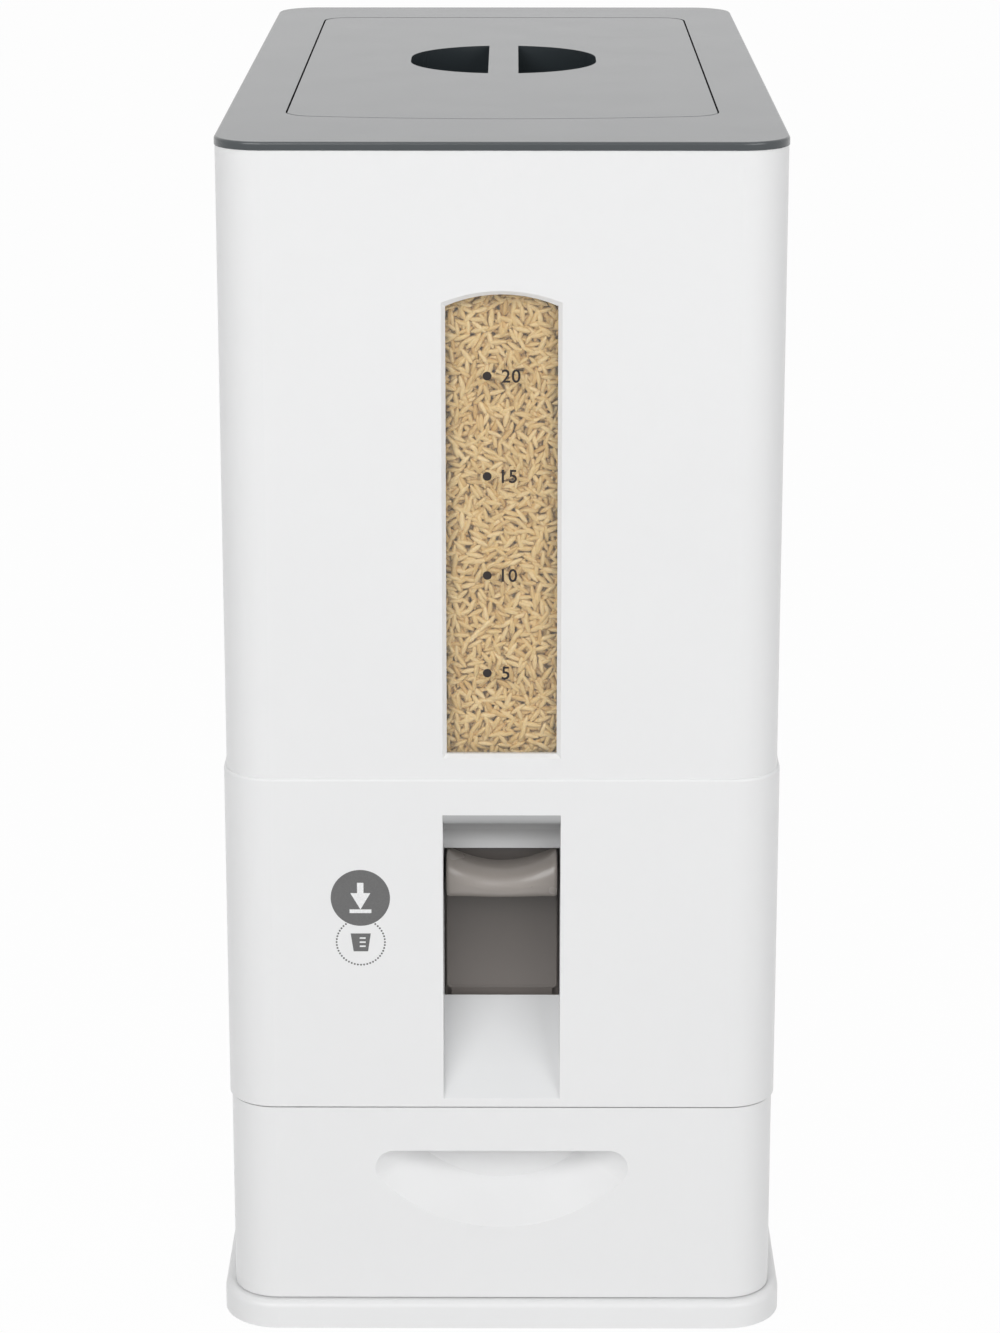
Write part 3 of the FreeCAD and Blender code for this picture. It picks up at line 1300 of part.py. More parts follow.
def make_pane():
    """The clear pane: a flange behind the wall and a raised middle in the opening."""
    body = make_body("window_pane")
    back = f"({HOPPER_Y} - gasket_thickness - pane_thickness)"
    flange = sketch_on(body, "flange", "XZ_Plane", back)
    reach = "(window_half_width + pane_flange)"
    draw_arched(flange, reach, f"{WINDOW_FOOT} - pane_flange", f"{WINDOW_TOP} + pane_flange", "window_arch")
    add_pad(body, flange, "flange", "pane_thickness")
    middle = sketch_on(body, "middle", "XZ_Plane", back)
    inside = "(window_half_width - pane_gap)"
    draw_arched(middle, inside, f"{WINDOW_FOOT} + pane_gap", f"{WINDOW_TOP} - pane_gap", "window_arch")
    add_pad(body, middle, "middle", f"body_depth / 2 - pane_setback - {back}")
    return body


def draw_hatch(sketch, grow):
    """The hatch's outline, grown by an expression: a bowed front edge and four round corners."""
    half = f"(hatch_half_width + {grow})"
    front = f"(hatch_front - {grow})"
    back = f"(hatch_back + {grow})"
    corner = f"(hatch_corner + {grow})"
    draw_bowed(sketch, half, front, back, corner, "hatch_bulge")


def draw_bowed(sketch, half, front, back, corner, bulge):
    """A rounded rectangle whose front edge is an arc that bows out by bulge."""
    a, y0, y1, r, rise = (number(text) for text in (half, front, back, corner, bulge))
    reach = (a**2 + rise**2) / (2 * rise)
    up = FreeCAD.Vector(0, 0, 1)
    lean = math.asin((a - r) / (reach - r))
    middle_y = y0 + reach
    corner_y = middle_y - (reach - r) * math.cos(lean)
    first = sketch.GeometryCount
    bow = Part.Circle(FreeCAD.Vector(0, middle_y, 0), up, reach)
    sketch.addGeometry(Part.ArcOfCircle(bow, -math.pi / 2 - lean, -math.pi / 2 + lean))
    near = Part.Circle(FreeCAD.Vector(a - r, corner_y, 0), up, r)
    sketch.addGeometry(Part.ArcOfCircle(near, -math.pi / 2 + lean, 0))
    sketch.addGeometry(Part.LineSegment(FreeCAD.Vector(a, corner_y, 0), FreeCAD.Vector(a, y1 - r, 0)))
    far = Part.Circle(FreeCAD.Vector(a - r, y1 - r, 0), up, r)
    sketch.addGeometry(Part.ArcOfCircle(far, 0, math.pi / 2))
    sketch.addGeometry(Part.LineSegment(FreeCAD.Vector(a - r, y1, 0), FreeCAD.Vector(r - a, y1, 0)))
    far_left = Part.Circle(FreeCAD.Vector(r - a, y1 - r, 0), up, r)
    sketch.addGeometry(Part.ArcOfCircle(far_left, math.pi / 2, math.pi))
    sketch.addGeometry(Part.LineSegment(FreeCAD.Vector(-a, y1 - r, 0), FreeCAD.Vector(-a, corner_y, 0)))
    near_left = Part.Circle(FreeCAD.Vector(r - a, corner_y, 0), up, r)
    sketch.addGeometry(Part.ArcOfCircle(near_left, math.pi, 3 * math.pi / 2 - lean))
    for index in range(8):
        following = first + (index + 1) % 8
        sketch.addConstraint(Sketcher.Constraint("Tangent", first + index, 2, following, 1))
    for index in (3, 5, 7):
        sketch.addConstraint(Sketcher.Constraint("Equal", first + 1, first + index))
    dimension(sketch, "Radius", first, f"(({half}) ^ 2 + {bulge} ^ 2) / (2 * {bulge})")
    dimension(sketch, "Radius", first + 1, corner)
    dimension(sketch, "DistanceX", -1, 1, first + 1, 3, f"{half} - {corner}")
    dimension(sketch, "DistanceX", -1, 1, first + 7, 3, f"{corner} - {half}")
    dimension(sketch, "DistanceY", -1, 1, first, 3, f"{front} + (({half}) ^ 2 + {bulge} ^ 2) / (2 * {bulge})")
    pin(sketch, first + 3, 3, f"{half} - {corner}", f"{back} - {corner}")
    sketch.addConstraint(Sketcher.Constraint("Horizontal", first + 4))


def plug_outline(inset):
    """The plug that stands down inside the hopper, made smaller by an expression."""
    gap = f"(plug_gap + {inset})"
    return f"({HOPPER_X} - {gap})", f"({HOPPER_Y} - {gap})", f"(body_corner - hopper_wall - {gap})"


def make_lid_frame():
    body = make_body("lid_frame")
    outer = ("(body_width / 2 + lid_reach)", "(body_depth / 2 + lid_reach)", "(body_corner + lid_reach)")
    outline = sketch_on(body, "outline", "XY_Plane", HOPPER_TOP)
    draw_frame(outline, *outer)
    add_pad(body, outline, "plate", "lid_thickness")
    top = number(LID_TOP)
    round_edges(body, "rim", "lid_round", lambda edge: lies_at(edge, "Z", top))
    plug_foot = f"{HOPPER_TOP} - plug_height"
    make_ring(body, "plug", plug_foot, "plug_height", plug_outline("0"), plug_outline("plug_wall"))
    ledge = sketch_on(body, "ledge", "XY_Plane", f"{HOPPER_TOP} - ledge_thickness")
    draw_frame(ledge, *plug_outline("plug_wall / 2"))
    add_pad(body, ledge, "ledge_plate", "ledge_thickness")
    groove = sketch_on(body, "groove", "XY_Plane", f"{HOPPER_TOP} - groove_drop")
    draw_frame(groove, *plug_outline("-plug_gap"))
    draw_frame(groove, *plug_outline("seal_depth"))
    add_pocket(body, groove, "seal_groove", "seal_height")
    seat = sketch_on(body, "seat", "XY_Plane", HOPPER_TOP)
    draw_hatch(seat, "hatch_gap")
    add_pocket(body, seat, "hatch_seat", "lid_thickness")
    mouth = sketch_on(body, "mouth", "XY_Plane", f"{HOPPER_TOP} - ledge_thickness")
    draw_hatch(mouth, "-hatch_ledge")
    add_pocket(body, mouth, "fill_mouth", "ledge_thickness")
    return body


def make_lid_seal():
    body = make_body("lid_seal")
    wide = plug_outline("seal_gap - plug_gap")
    narrow = plug_outline("seal_depth - seal_gap")
    ring_foot = f"{HOPPER_TOP} - groove_drop + seal_gap"
    make_ring(body, "ring", ring_foot, "seal_height - 2 * seal_gap", wide, narrow)
    return body


def make_hatch():
    body = make_body("hatch")
    outline = sketch_on(body, "outline", "XY_Plane", f"{HOPPER_TOP} + seal_gap")
    draw_hatch(outline, "0")
    add_pad(body, outline, "plate", "lid_thickness - seal_gap")
    top = number(LID_TOP)
    round_edges(body, "rim", "lid_round / 2", lambda edge: lies_at(edge, "Z", top))
    cup = sketch_on(body, "cup", "XY_Plane", f"{LID_TOP} - well_depth - well_wall")
    draw_oval(cup, "well_wall")
    add_pad(body, cup, "cup", "well_depth + well_wall - lid_thickness / 2")
    well = sketch_on(body, "well", "XY_Plane", f"{LID_TOP} - well_depth")
    draw_oval(well, "0")
    add_pocket(body, well, "grip_well", "well_depth")
    bar = sketch_on(body, "bar", "XY_Plane", f"{LID_TOP} - well_depth - well_wall / 2")
    reach = "(well_half_length + well_wall / 2)"
    draw_box(
        bar, "-grip_bar_width / 2", "grip_bar_width / 2", f"well_middle - {reach}", f"well_middle + {reach}"
    )
    add_pad(body, bar, "grip_bar", "well_depth + well_wall / 2")
    rib = sketch_on(body, "rib", "XY_Plane", f"{HOPPER_TOP} - hatch_rib_height")
    rib_inset = "(hatch_ledge + seal_depth + seal_gap)"
    draw_hatch(rib, f"-{rib_inset}")
    draw_hatch(rib, f"-({rib_inset} + hatch_rib_wall)")
    add_pad(body, rib, "plug_rib", "hatch_rib_height + lid_thickness / 2")
    return body


def draw_oval(sketch, grow):
    """The grip well's outline: nearly half round in front and behind, with short straight sides."""
    half_x = f"(well_half_width + {grow})"
    half_y = f"(well_half_length + {grow})"
    radius = f"({half_x} - well_flat)"
    front = f"(well_middle - {half_y})"
    back = f"(well_middle + {half_y})"
    draw_rounded(sketch, f"-{half_x}", half_x, front, back, radius)


def make_hatch_seal():
    body = make_body("hatch_seal")
    ring = sketch_on(body, "ring", "XY_Plane", f"{HOPPER_TOP} - ledge_thickness")
    draw_hatch(ring, "-(hatch_ledge + 2 * seal_gap)")
    draw_hatch(ring, "-(hatch_ledge + seal_depth)")
    add_pad(body, ring, "ring", "ledge_thickness - seal_gap")
    return body


def make_all_screws():
    sink = "(foot_drop + screw_head_height + seat_gap)"
    make_screws("base_screws", [(x, y, sink) for x, y in casing_post_places()], UPWARD)
    make_screws("deck_screws", [(x, y, DECK_TOP) for x, y in casing_post_places()], DOWNWARD)
    make_screws("housing_screws", [(x, y, CASING_TOP) for x, y in housing_boss_places()], UPWARD)
    on_case = [(x, y, f"({DECK_TOP} + case_wall)") for x, y in case_screw_places()]
    make_screws("meter_screws", on_case, DOWNWARD, "(case_wall + deck_thickness)")
    inside = f"({FACE_BACK} + bin_wall)"
    forward = FreeCAD.Rotation(FreeCAD.Vector(1, 0, 0), 90)
    make_screws("drawer_front_screws", [(x, inside, z) for x, z in face_screw_places()], forward)


def main():
    make_plinth()
    make_feet()
    make_lower_casing()
    make_drawer_front()
    make_drawer_bin()
    make_housing()
    make_deck()
    make_meter_case()
    make_spout()
    make_shuttle()
    make_shaft()
    make_clips()
    for side, name in ((-1, "left"), (1, "right")):
        make_shuttle_rack(side)
        make_bush(side)
        make_pinion(f"lever_pinion_{name}", "lever_teeth", "lever_gear_start", side, math.pi)
        make_pinion(f"shuttle_pinion_{name}", "shuttle_teeth", "shuttle_gear_start", side, -math.pi / 2)
    make_lever()
    make_knob()
    make_spring()
    make_funnel()
    make_hopper()
    make_gasket()
    make_pane()
    make_lid_frame()
    make_lid_seal()
    make_hatch()
    make_hatch_seal()
    make_all_screws()
    document.recompute()
    check_document()
    export_pieces()


def check_document():
    for item in document.Objects:
        if "Invalid" in item.State or "Error" in item.State:
            raise ValueError(f"{item.Label} is {item.State}")
    for piece in pieces:
        if piece.Shape.isNull() or not piece.Shape.isValid():
            raise ValueError(f"{piece.Label} has no valid shape")


def export_pieces():
    os.makedirs("parts", exist_ok=True)
    for piece in pieces:
        piece.Shape.exportStep(f"parts/{piece.Label}.step")
        box = piece.Shape.BoundBox
        count = len(piece.Shape.Solids)
        span = f"z {box.ZMin:.1f} to {box.ZMax:.1f}"
        print(f"{piece.Label}: {count} solids, {piece.Shape.Volume:.0f} mm3, {span}")


main()
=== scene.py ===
"""Finishes, rice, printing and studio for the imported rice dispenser, laid out as an add-on.

Lengths are metres in the part's own frame: X is across, the front faces -Y, Z is up.
"""

import math
import random

import bmesh
import bpy
from mathutils import Matrix, Vector


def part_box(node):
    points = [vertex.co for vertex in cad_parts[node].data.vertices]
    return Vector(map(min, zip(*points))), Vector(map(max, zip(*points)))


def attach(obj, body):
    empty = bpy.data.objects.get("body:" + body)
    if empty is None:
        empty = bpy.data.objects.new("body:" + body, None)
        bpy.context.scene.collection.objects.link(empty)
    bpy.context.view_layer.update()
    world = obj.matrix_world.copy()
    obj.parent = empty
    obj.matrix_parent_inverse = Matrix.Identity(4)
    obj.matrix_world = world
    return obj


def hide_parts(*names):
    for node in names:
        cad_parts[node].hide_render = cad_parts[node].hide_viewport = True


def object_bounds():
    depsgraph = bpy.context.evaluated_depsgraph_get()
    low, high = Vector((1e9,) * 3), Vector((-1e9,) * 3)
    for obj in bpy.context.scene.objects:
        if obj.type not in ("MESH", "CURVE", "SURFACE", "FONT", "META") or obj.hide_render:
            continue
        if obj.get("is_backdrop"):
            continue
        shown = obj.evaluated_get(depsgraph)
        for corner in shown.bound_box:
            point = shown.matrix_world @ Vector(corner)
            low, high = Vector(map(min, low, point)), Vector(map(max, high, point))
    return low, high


bl_info = {
    "name": "Rice Dispenser Dressing",
    "version": (1, 0, 0),
    "blender": (4, 5, 0),
    "location": "3D View > Sidebar > Dispenser",
    "description": "Gives the packed rice dispenser its finishes, rice, printing and studio",
    "category": "Object",
}

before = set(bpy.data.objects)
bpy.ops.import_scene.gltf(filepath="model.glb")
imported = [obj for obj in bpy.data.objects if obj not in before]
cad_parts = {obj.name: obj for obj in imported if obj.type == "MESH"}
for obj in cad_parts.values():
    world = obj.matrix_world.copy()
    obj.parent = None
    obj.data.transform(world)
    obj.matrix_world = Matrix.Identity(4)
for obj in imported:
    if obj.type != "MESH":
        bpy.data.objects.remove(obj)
cad_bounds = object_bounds()
FRONT_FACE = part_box("dispenser_housing")[0].y
PANE_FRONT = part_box("window_pane")[0].y
PANE_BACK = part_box("window_pane")[1].y
LEVER_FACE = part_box("lever_panel")[0].y

# Hopper space that the rice may fill
RICE_HALF_WIDTH = 0.0968
RICE_BACK = 0.1938
RICE_FOOT = 0.2225
FUNNEL_RISE = 0.049
LOOSE_DEPTH = 0.0058

# Printed marks on the pane and the badge beside the lever
LEVEL_TEXTS = ("5", "10", "15", "20")
LEVEL_DOT_X = -0.0052
LEVEL_DOT_RADIUS = 0.0016
INK_THICKNESS = 0.00004
THIN_INK = 0.00003
BADGE_X = -0.0519
DISC_HEIGHT = 0.1725
RING_HEIGHT = 0.1552
RING_RADIUS = 0.0089
RING_DOTS = 48
RING_DOT_RADIUS = 0.00038
ARROW_HEIGHT = 0.0118

# The front recess, and the painted shade on its grey lining, from the foot (0) to the roof (1)
RECESS_HALF_WIDTH = 0.02155
RECESS_DEPTH = 0.0226
RECESS_FOOT = 0.093
RECESS_TOP = 0.2046
SLOT_TOP = 0.184
SLOT_FOOT = 0.125
RAMP_BEND = 0.102
LINING = 0.0002
# The grey of the lining is painted shade inside the recess, darkest in a band under the roof
RECESS_SHADE_GREY = (0.62, 0.625, 0.63)
RECESS_PAINTED_SHADE = (
    (0.0, 1.22), (0.09, 1.18), (0.28, 1.02), (0.84, 1.06), (0.9, 0.62), (0.96, 0.46), (1.0, 0.7)
)

# Noise scales that the moulded finishes share
TONE_SCALE = 11.0
SMEAR_SCALE = 38.0
WAVE_SCALE = 16.0


# ---------------------------------------------------------------- sizes and colours


class DispenserSizes(bpy.types.PropertyGroup):
    rice_level: bpy.props.FloatProperty(
        name="Rice level", description="Height of the rice above the counter", default=0.407, unit="LENGTH"
    )
    grain_length: bpy.props.FloatProperty(
        name="Grain length", description="Length of one grain of rice", default=0.0068, unit="LENGTH"
    )
    grain_width: bpy.props.FloatProperty(
        name="Grain width", description="Thickness of one grain of rice", default=0.0023, unit="LENGTH"
    )
    lowest_mark: bpy.props.FloatProperty(
        name="Lowest mark", description="Height of the first level mark", default=0.2581, unit="LENGTH"
    )
    mark_step: bpy.props.FloatProperty(
        name="Mark step", description="Height between two level marks", default=0.0367, unit="LENGTH"
    )
    digit_height: bpy.props.FloatProperty(
        name="Digit height", description="Height of the level numbers", default=0.0049, unit="LENGTH"
    )
    badge_radius: bpy.props.FloatProperty(
        name="Badge radius", description="Radius of the printed round badge", default=0.0109, unit="LENGTH"
    )


class DispenserColours(bpy.types.PropertyGroup):
    shell: bpy.props.FloatVectorProperty(
        name="Shell", description="White of the casings", default=(0.82, 0.822, 0.825), subtype="COLOR"
    )
    inner: bpy.props.FloatVectorProperty(
        name="Inner parts",
        description="Milky white of the inner mouldings",
        default=(0.79, 0.79, 0.775),
        subtype="COLOR",
    )
    slate: bpy.props.FloatVectorProperty(
        name="Lid",
        description="Dark slate of the lid and hatch",
        default=(0.033, 0.041, 0.046),
        subtype="COLOR",
    )
    panel: bpy.props.FloatVectorProperty(
        name="Lever panel",
        description="Dark taupe of the lever's panel",
        default=(0.163, 0.146, 0.134),
        subtype="COLOR",
    )
    knob: bpy.props.FloatVectorProperty(
        name="Lever knob",
        description="Light taupe of the lever's knob",
        default=(0.3, 0.272, 0.248),
        subtype="COLOR",
    )
    rice: bpy.props.FloatVectorProperty(
        name="Rice", description="Tan of the brown rice", default=(0.72, 0.515, 0.225), subtype="COLOR"
    )
    ink: bpy.props.FloatVectorProperty(
        name="Level ink",
        description="Near black of the level marks",
        default=(0.012, 0.006, 0.005),
        subtype="COLOR",
    )
    badge: bpy.props.FloatVectorProperty(
        name="Badge ink",
        description="Grey of the printed badge",
        default=(0.135, 0.135, 0.135),
        subtype="COLOR",
    )


# ---------------------------------------------------------------- material tools


def start_material(name):
    material = bpy.data.materials.new(name)
    material.use_nodes = True
    return material, material.node_tree, material.node_tree.nodes["Principled BSDF"]


def add_noise(tree, scale, detail=2.0, stretch=(1.0, 1.0, 1.0)):
    """Noise on the piece's own object coordinates."""
    place = tree.nodes.new("ShaderNodeTexCoord")
    mapping = tree.nodes.new("ShaderNodeMapping")
    mapping.inputs["Scale"].default_value = stretch
    noise = tree.nodes.new("ShaderNodeTexNoise")
    noise.inputs["Scale"].default_value = scale
    noise.inputs["Detail"].default_value = detail
    tree.links.new(place.outputs["Object"], mapping.inputs["Vector"])
    tree.links.new(mapping.outputs["Vector"], noise.inputs["Vector"])
    return noise.outputs["Fac"]


def add_ramp(tree, factor, stops):
    """A colour ramp through (place, colour) stops."""
    ramp = tree.nodes.new("ShaderNodeValToRGB")
    while len(ramp.color_ramp.elements) < len(stops):
        ramp.color_ramp.elements.new(0.5)
    for element, (place, colour) in zip(ramp.color_ramp.elements, stops):
        element.position = place
        element.color = (*colour, 1.0)
    tree.links.new(factor, ramp.inputs["Fac"])
    return ramp.outputs["Color"]


def add_range(tree, factor, low, high):
    """Spread the middle of a noise over low to high."""
    span = tree.nodes.new("ShaderNodeMapRange")
    span.inputs["From Min"].default_value = 0.3
    span.inputs["From Max"].default_value = 0.7
    span.inputs["To Min"].default_value = low
    span.inputs["To Max"].default_value = high
    tree.links.new(factor, span.inputs["Value"])
    return span.outputs["Result"]


def add_bump(tree, shader, height, depth, strength=0.3, under=None):
    bump = tree.nodes.new("ShaderNodeBump")
    bump.inputs["Strength"].default_value = strength
    bump.inputs["Distance"].default_value = depth
    tree.links.new(height, bump.inputs["Height"])
    if under is not None:
        tree.links.new(under, bump.inputs["Normal"])
    tree.links.new(bump.outputs["Normal"], shader.inputs["Normal"])
    return bump.outputs["Normal"]


def tint(colour, factors):
    return tuple(min(1.0, channel * factor) for channel, factor in zip(colour, factors))


def shade(colour, factor):
    return tint(colour, (factor, factor, factor))


def make_moulded(name, colour, gloss, grain=1500.0, grain_depth=0.00002, drift=0.02, waviness=0.0):
    """Moulded plastic: a faint drift of tone, uneven gloss, fine mould grain and slow sink waves."""
    material, tree, shader = start_material(name)
    tone = add_noise(tree, TONE_SCALE, 3.0)
    stops = ((0.3, shade(colour, 1.0 - drift)), (0.7, shade(colour, 1.0 + drift)))
    tree.links.new(add_ramp(tree, tone, stops), shader.inputs["Base Color"])
    smears = add_noise(tree, SMEAR_SCALE)
    low, high = gloss
    tree.links.new(add_range(tree, smears, low, high), shader.inputs["Roughness"])
    waves = None
    if waviness:
        waves = add_bump(tree, shader, add_noise(tree, WAVE_SCALE, 1.0), waviness, 0.5)
    add_bump(tree, shader, add_noise(tree, grain), grain_depth, 0.25, waves)
    return material, tree, shader


def make_shell(colours):
    material, _, shader = make_moulded(
        "white_shell", colours.shell, (0.3, 0.34),
        grain=2200.0, grain_depth=0.00001, drift=0.005, waviness=0.00002,
    )
    shader.inputs["IOR"].default_value = 1.5
    shader.inputs["Subsurface Weight"].default_value = 0.04
    shader.inputs["Subsurface Radius"].default_value = (0.002, 0.002, 0.002)
    return material


def make_inner(colours):
    material, _, shader = make_moulded("inner_white", colours.inner, (0.4, 0.52))
    shader.inputs["Subsurface Weight"].default_value = 0.15
    shader.inputs["Subsurface Radius"].default_value = (0.003, 0.003, 0.003)
    return material


def make_slate(colours):
    material, _, shader = make_moulded(
        "slate_lid", colours.slate, (0.252, 0.264),
        grain=2600.0, grain_depth=0.000008, drift=0.015, waviness=0.00001,
    )
    shader.inputs["IOR"].default_value = 1.6
    shader.inputs["Coat Weight"].default_value = 0.25
    shader.inputs["Coat Roughness"].default_value = 0.16
    return material


def make_pane(colours):
    """Clear styrene: a faint grey body, a sharp gloss and a trace of dust."""
    material, tree, shader = start_material("clear_pane")
    dust = add_noise(tree, 420.0, 5.0)
    tree.links.new(add_range(tree, dust, 0.05, 0.11), shader.inputs["Roughness"])
    tree.links.new(add_range(tree, dust, 0.04, 0.06), shader.inputs["Alpha"])
    shader.inputs["Base Color"].default_value = (0.86, 0.88, 0.88, 1.0)
    shader.inputs["IOR"].default_value = 1.59
    return material


def paint_shade_by_height(tree, shader, low, high, stops):
    """Multiply the colour by (share of the height, tone) stops between two heights on the piece: painted
    light and shade that change with height.
    """
    place = tree.nodes.new("ShaderNodeTexCoord")
    split = tree.nodes.new("ShaderNodeSeparateXYZ")
    height = tree.nodes.new("ShaderNodeMapRange")
    height.inputs["From Min"].default_value = low
    height.inputs["From Max"].default_value = high
    tree.links.new(place.outputs["Object"], split.inputs["Vector"])
    tree.links.new(split.outputs["Z"], height.inputs["Value"])
    mix = tree.nodes.new("ShaderNodeMix")
    mix.data_type = "RGBA"
    mix.blend_type = "MULTIPLY"
    mix.inputs["Factor"].default_value = 1.0
    tree.links.new(shader.inputs["Base Color"].links[0].from_socket, mix.inputs["A"])
    greys = [(share, (tone, tone, tone)) for share, tone in stops]
    tree.links.new(add_ramp(tree, height.outputs["Result"], greys), mix.inputs["B"])
    tree.links.new(mix.outputs["Result"], shader.inputs["Base Color"])


def make_panel(colours):
    """Satin taupe, darkened towards the knob above by painted shade, so that the foot keeps a paler
    painted sheen.
    """
    material, tree, shader = make_moulded(
        "taupe_panel", colours.panel, (0.3, 0.36), grain=2400.0, drift=0.03
    )
    # Painted shade under the knob: the colour falls to 0.56 towards the top, leaving a paler painted sheen
    # at the foot
    paint_shade_by_height(tree, shader, 0.126, 0.16, ((0.0, 1.0), (1.0, 0.56)))
    return material


def make_knob(colours):
    material, _, shader = make_moulded(
        "taupe_knob", colours.knob, (0.22, 0.3), grain=2400.0, grain_depth=0.000012, drift=0.04
    )
    shader.inputs["Coat Weight"].default_value = 0.2
    shader.inputs["Coat Roughness"].default_value = 0.2
    return material


def make_meter(colours):
    return make_moulded("meter_grey", (0.31, 0.325, 0.34), (0.4, 0.5), drift=0.05)[0]


def make_acetal(colours):
    material, _, shader = make_moulded(
        "acetal", (0.8, 0.78, 0.71), (0.32, 0.42), grain=3200.0, drift=0.03
    )
    shader.inputs["Subsurface Weight"].default_value = 0.12
    shader.inputs["Subsurface Radius"].default_value = (0.0015, 0.0012, 0.001)
    return material


def make_steel(colours):
    """Zinc plated steel: bright, with fine drawn lines and a bluish yellow bloom."""
    material, tree, shader = start_material("steel")
    bloom = add_noise(tree, 180.0, 3.0)
    stops = ((0.3, (0.56, 0.57, 0.6)), (0.7, (0.66, 0.64, 0.58)))
    tree.links.new(add_ramp(tree, bloom, stops), shader.inputs["Base Color"])
    lines = add_noise(tree, 900.0, 4.0, (1.0, 8.0, 8.0))
    tree.links.new(add_range(tree, lines, 0.2, 0.36), shader.inputs["Roughness"])
    shader.inputs["Metallic"].default_value = 1.0
    add_bump(tree, shader, lines, 0.00001, 0.3)
    return material


def make_rubber(colours):
    return make_moulded(
        "dark_rubber", (0.03, 0.03, 0.031), (0.7, 0.85), grain=1300.0, grain_depth=0.00006, drift=0.12
    )[0]


def make_silicone(colours):
    material, _, shader = make_moulded(
        "silicone", (0.72, 0.73, 0.73), (0.45, 0.6), grain=1800.0, drift=0.03
    )
    shader.inputs["Subsurface Weight"].default_value = 0.3
    shader.inputs["Subsurface Radius"].default_value = (0.002, 0.002, 0.002)
    return material


def make_rice(colours):
    """Brown rice: each grain its own tan, with a paler belly, fine furrows and a waxy skin."""
    material, tree, shader = start_material("brown_rice")
    tone = tree.nodes.new("ShaderNodeAttribute")
    tone.attribute_name = "grain_tone"
    deep = tint(colours.rice, (0.86, 0.77, 0.62))
    pale = tint(colours.rice, (1.13, 1.2, 1.42))
    stops = ((0.0, deep), (0.45, tuple(colours.rice)), (1.0, pale))
    grains = add_ramp(tree, tone.outputs["Fac"], stops)
    skin = ((0.35, (0.86, 0.82, 0.74)), (0.65, (1.0, 1.0, 1.0)))
    mottle = add_ramp(tree, add_noise(tree, 700.0, 3.0), skin)
    mix = tree.nodes.new("ShaderNodeMix")
    mix.data_type = "RGBA"
    mix.blend_type = "MULTIPLY"
    mix.inputs["Factor"].default_value = 0.6
    tree.links.new(grains, mix.inputs["A"])
    tree.links.new(mottle, mix.inputs["B"])
    tree.links.new(mix.outputs["Result"], shader.inputs["Base Color"])
    tree.links.new(add_range(tree, add_noise(tree, 900.0), 0.36, 0.52), shader.inputs["Roughness"])
    shader.inputs["Subsurface Weight"].default_value = 0.12
    shader.inputs["Subsurface Radius"].default_value = (0.0012, 0.0009, 0.0005)
    add_bump(tree, shader, add_noise(tree, 1600.0), 0.00005, 0.3)
    return material


def make_ink(name, colour, gloss):
    """Screen-printed ink: nearly even, with a trace of the screen's mesh in its gloss."""
    material, tree, shader = start_material(name)
    cover = add_noise(tree, 1700.0)
    stops = ((0.3, shade(colour, 0.92)), (0.7, shade(colour, 1.08)))
    tree.links.new(add_ramp(tree, cover, stops), shader.inputs["Base Color"])
    tree.links.new(add_range(tree, cover, *gloss), shader.inputs["Roughness"])
    add_bump(tree, shader, cover, 0.00001, 0.15)
    return material


FINISH_MAKERS = {
    "white_shell": make_shell,
    "inner_white": make_inner,
    "slate_lid": make_slate,
    "clear_pane": make_pane,
    "taupe_panel": make_panel,
    "taupe_knob": make_knob,
    "meter_grey": make_meter,
    "acetal": make_acetal,
    "steel": make_steel,
    "dark_rubber": make_rubber,
    "silicone": make_silicone,
}


# ---------------------------------------------------------------- modelling tools


def deselect_all():
    if bpy.context.object and bpy.context.object.mode != "OBJECT":
        bpy.ops.object.mode_set(mode="OBJECT")
    bpy.ops.object.select_all(action="DESELECT")


def settle(piece):
    """Put the piece's place, turn and scale into its mesh."""
    deselect_all()
    piece.select_set(True)
    bpy.context.view_layer.objects.active = piece
    bpy.ops.object.transform_apply(location=True, rotation=True, scale=True)


def start_block(low, high):
    """A block between two corners, ready to be shaped."""
    deselect_all()
    low, high = Vector(low), Vector(high)
    bpy.ops.mesh.primitive_cube_add(size=1.0, location=(low + high) / 2, scale=high - low)
    piece = bpy.context.object
    settle(piece)
    return piece


def start_disc(radius, sides, centre):
    """A filled disc that faces the front, ready to be extruded."""
    deselect_all()
    bpy.ops.mesh.primitive_circle_add(
        vertices=sides, radius=radius, fill_type="NGON", location=centre, rotation=(math.pi / 2, 0.0, 0.0)
    )
    piece = bpy.context.object
    settle(piece)
    return piece


def pick(piece, kind, chosen):
    """Enter edit mode with only the faces, edges or verts picked by chosen(centre, item)."""
    deselect_all()
    piece.select_set(True)
    bpy.context.view_layer.objects.active = piece
    bpy.ops.object.mode_set(mode="EDIT")
    bpy.ops.mesh.select_mode(type=kind)
    bpy.ops.mesh.select_all(action="DESELECT")
    mesh = bmesh.from_edit_mesh(piece.data)
    items = {"VERT": mesh.verts, "EDGE": mesh.edges, "FACE": mesh.faces}[kind]
    for item in items:
        if kind == "VERT":
            centre = item.co
        elif kind == "EDGE":
            centre = (item.verts[0].co + item.verts[1].co) / 2
        else:
            centre = item.calc_center_median()
        item.select_set(chosen(centre, item))
    if kind == "VERT":
        mesh.select_flush(True)
    bmesh.update_edit_mesh(piece.data)


def is_upright(edge, axis=2):
    """Whether an edge runs along one axis."""
    run = edge.verts[1].co - edge.verts[0].co
    return abs(run[axis]) > 0.999 * run.length


def pick_across(piece, chosen):
    """Pick the edges that run across the object and whose middle is chosen."""
    pick(piece, "EDGE", lambda centre, edge: is_upright(edge, 0) and chosen(centre))


def bevel_picked(offset, segments):
    bpy.ops.mesh.bevel(offset=offset, segments=segments, affect="EDGES", profile=0.5)
    bpy.ops.object.mode_set(mode="OBJECT")


